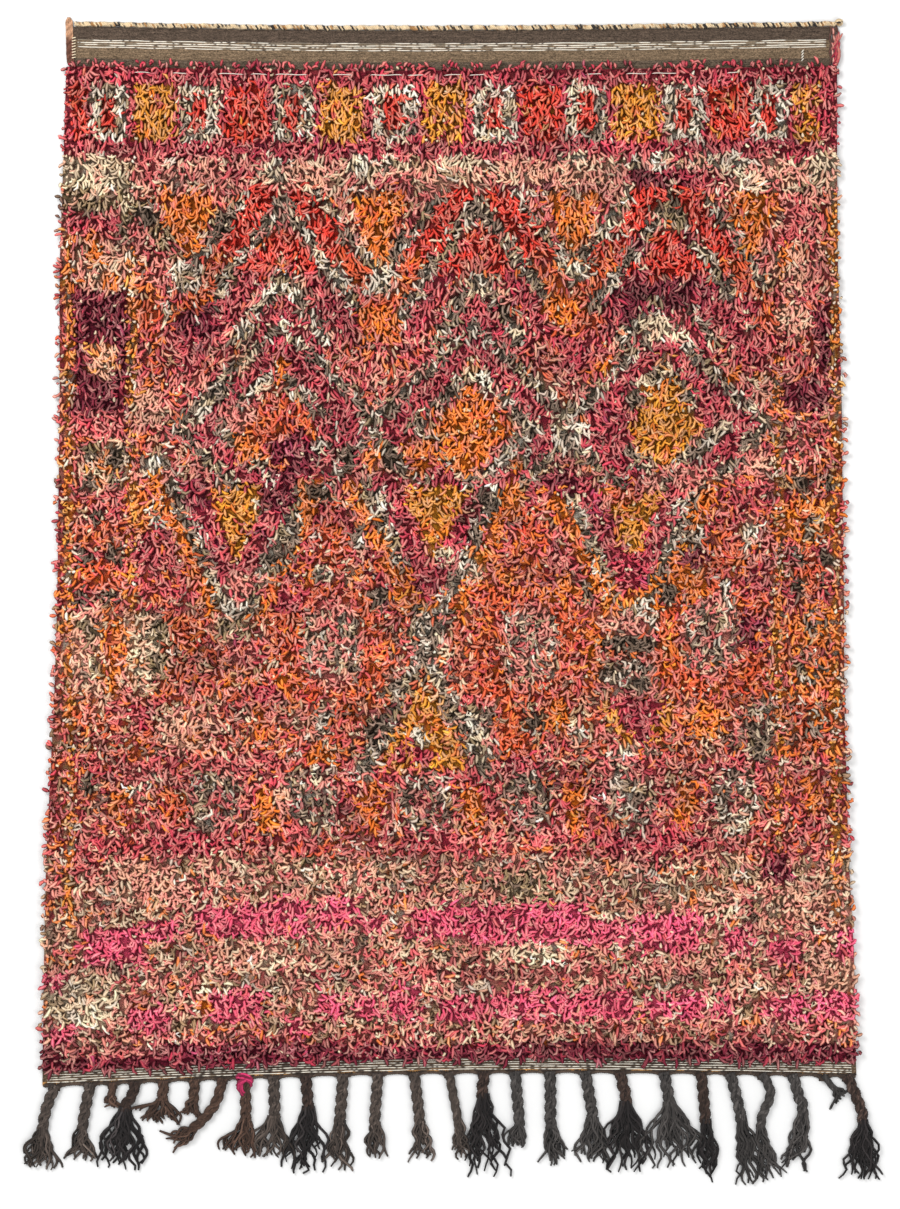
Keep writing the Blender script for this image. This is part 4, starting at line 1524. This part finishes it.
def tasselYarns(points, width, spread, tint):
    count = max(int(tassel["yarns"] * (0.45 + spread / 0.060)), tassel["fewest"])
    stations = tassel["stations"]
    at, centres, across = alongRoute(points, *tassel["span"], tassel["step"])
    total, narrow = at[-1], width * tassel["root"]
    lowest, rise = tassel["height"]
    yarns = []
    for number in range(count):
        share = (number + 0.5) / count - 0.5
        lane = share + dice.normal(0.0, tassel["stray"])
        place = np.linspace(0.0, total * dice.uniform(*tassel["reach"]), stations)
        base = np.stack([np.interp(place, at, centres[:, axis]) for axis in range(2)], -1)
        wide = np.stack([np.interp(place, at, across[:, axis]) for axis in range(2)], -1)
        opened = softStep(place / total, 0.0, tassel["openUntil"])
        room = narrow + (spread * tassel["spread"] - narrow) * opened
        curl = np.sin(place / dice.uniform(*tassel["curlLength"]) + dice.random() * math.tau)
        curl = curl * dice.uniform(*tassel["curl"]) * softStep(place / total, 0.0, 0.30)
        hook = softStep(place / total, 0.45, 1.0) * dice.normal(0.0, tassel["hook"])
        height = lowest + rise * dice.random() * (1.0 - 0.55 * place / total)
        height = height + 0.0014 * np.sin(place / 0.013 + number)
        plan = base + wide * (lane * room + curl + hook)[:, None]
        yarns.append(np.concatenate([plan, np.maximum(height, tassel["lowest"])[:, None]], 1))
    radius = dice.uniform(*tassel["radius"], (count, 1))
    taper = np.interp(np.linspace(0.0, 1.0, stations), (0.0, 0.8, 1.0), tassel["taper"])
    yarnShade, placeShade = tassel["shade"]
    own = np.exp(dice.normal(0.0, yarnShade, (count, 1, 1)))
    along = np.exp(dice.normal(0.0, placeShade, (count, stations, 1)))
    return strands(yarns, radius * taper, tint * own * along, 3, plait["flank"])


def webYarns(root, top):
    share = np.linspace(0.0, 1.0, web["stations"])
    base, rise = web["height"]
    yarns = []
    for lane in np.linspace(-1.0, 1.0, web["yarns"]):
        x = root + lane * (web["spread"] * (1.0 - share) ** 1.5 + web["gather"] * share)
        start = footEdgeAt(root + lane * web["spread"]) + web["above"]
        y = start + (top - web["depth"] - start) * share ** (0.7 + 0.9 * abs(lane))
        yarns.append(np.stack([x, y, base + rise * np.sin(share * 2.2)], -1))
    shade = np.exp(dice.normal(0.0, web["shade"], (web["yarns"], web["stations"], 1)))
    radii = np.interp(share, (0.0, 0.5, 1.0), web["radii"])
    return strands(yarns, radii, braidYarns["web"] * shade, 4, plait["flank"])


def magentaKnot(root, top):
    angle = np.linspace(0.0, math.tau * woolKnot["turns"], woolKnot["stations"])
    first, more, spread = woolKnot["lean"]
    base, rise = woolKnot["height"]
    loops = []
    for number in range(woolKnot["loops"]):
        lean = first + more * number + dice.normal(0.0, spread)
        wide = woolKnot["wide"] * dice.uniform(0.75, 1.05)
        high = woolKnot["high"] * dice.uniform(0.5, 1.1)
        x, y = wide * np.cos(angle), high * np.sin(angle + 0.6)
        middle = top - woolKnot["drop"] - woolKnot["pitch"] * (number - woolKnot["loops"] // 2)
        loops.append(np.stack([root + x * math.cos(lean) - y * math.sin(lean),
                               middle + x * math.sin(lean) + y * math.cos(lean),
                               base + rise * np.sin(angle)], -1))
    shade = np.exp(dice.normal(0.0, woolKnot["shade"], (len(loops), 1, 1)))
    return strands(loops, woolKnot["radius"], braidYarns["magenta"] * shade, 6, 0.22)


def buildBraid(number, row):
    root, knee, kneeDrop, end, endDrop, tip, tipDrop, width, spread, yarn = row
    top = float(footEdgeAt(root)) - plait["gap"]
    points = np.array([(root, top), (knee, top - kneeDrop), (end, top - endDrop),
                       (tip, top - tipDrop)])
    tint = braidYarns[yarn]
    upper = (braidYarns["brown"] + tint) * 0.5 if yarn == "black" else tint
    groups = [plaitYarns(points, width, upper), tasselYarns(points, width, spread, tint),
              webYarns(root, top)]
    if number == woolKnot["braid"]:
        groups.append(magentaKnot(root, top))
    node = f"braid_{number:02d}"
    piece = yarnMesh(f"{node}_yarn", groups, plaitWool)
    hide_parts(node)
    return len(piece.data.polygons)


faces = sum(buildBraid(number, row) for number, row in enumerate(braids, start=1))
print("braids", faces, "faces")


footCord = {  # the dark warp ends that run along the foot edge and gather into each braid
    "radius": 0.0030, "yarns": 3, "stations": 380, "inset": 0.006, "twist": 0.011,
    "dip": 0.0040, "dipLength": 0.018, "reach": (0.0016, 0.0014), "height": 0.0040,
    "shade": 0.18, "tint": linear(84, 70, 60),
}


def buildFootCord():
    left, right = sidesAt(rug["footLine"])
    x = np.linspace(-left + footCord["inset"], right - footCord["inset"], footCord["stations"])
    roots = np.array([row[0] for row in braids])
    near = np.abs(x[:, None] - roots[None]).min(axis=1)
    pull = np.exp(-(near / footCord["dipLength"]) ** 2)
    reach, rise = footCord["reach"]
    groups = []
    for number in range(footCord["yarns"]):
        turn = x / footCord["twist"] * math.tau + math.tau * number / footCord["yarns"]
        dip = footCord["dip"] * pull * (0.6 + 0.5 * number)
        centres = np.stack([x, footEdgeAt(x) - dip + reach * np.sin(turn),
                            footCord["height"] + rise * np.cos(turn)], -1)
        tint = footCord["tint"] * np.exp(dice.normal(0.0, footCord["shade"], (len(x), 1)))
        radii = footCord["radius"] * (0.85 + 0.35 * pull)
        groups.append(strands(centres, radii, tint, 4, plait["flank"]))
    piece = yarnMesh("foot_cord", groups, plaitWool)
    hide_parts("pile_cloth")
    return piece


footCordPiece = buildFootCord()

added = [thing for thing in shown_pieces() if "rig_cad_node" not in thing]
counts = {thing.name: sum(len(face.vertices) - 2 for face in thing.data.polygons)
          for thing in added}
print("triangles", sum(counts.values()), "largest", max(counts.values()))


# Floor, light and camera

studio = {
    "floorSize": 14.0, "floorColor": (0.78, 0.78, 0.777, 1.0),
    "skyStrength": 0.80,
    "camera": (0.0022, -0.1199, 6.5), "lens": 88.0, "sensor": 36.0,
    "lights": [  # name, place, size, power
        ("keyPanel", (-2.6, 2.4, 4.4), 2.6, 195.0),
        ("fillPanel", (2.8, -1.6, 4.8), 3.6, 90.0),
    ],
}


def buildStudio():
    bpy.ops.mesh.primitive_plane_add(size=studio["floorSize"], location=(0.0, 0.0, 0.0))
    floor = bpy.context.object
    floor.name = "studio_floor"
    paint = bpy.data.materials.new("floorPaint")
    paint.use_nodes = True
    shader = paint.node_tree.nodes["Principled BSDF"]
    shader.inputs["Base Color"].default_value = studio["floorColor"]
    shader.inputs["Roughness"].default_value = 0.9
    floor.data.materials.append(paint)
    world = bpy.data.worlds.new("studioSky")
    bpy.context.scene.world = world
    world.use_nodes = True
    sky = world.node_tree.nodes["Background"]
    sky.inputs["Color"].default_value = (1.0, 1.0, 1.0, 1.0)
    sky.inputs["Strength"].default_value = studio["skyStrength"]
    for name, place, size, power in studio["lights"]:
        light = bpy.data.lights.new(name, "AREA")
        light.shape = "DISK"
        light.size = size
        light.energy = power
        lamp = bpy.data.objects.new(name, light)
        bpy.context.scene.collection.objects.link(lamp)
        lamp.location = place
        lamp.rotation_euler = (-Vector(place)).to_track_quat("-Z", "Y").to_euler()
    lens = bpy.data.cameras.new("topCamera")
    lens.sensor_fit = "VERTICAL"
    lens.sensor_height = studio["sensor"]
    lens.lens = studio["lens"]
    camera = bpy.data.objects.new("topCamera", lens)
    bpy.context.scene.collection.objects.link(camera)
    camera.location = studio["camera"]
    bpy.context.scene.camera = camera


buildStudio()
print("floor, light and camera")
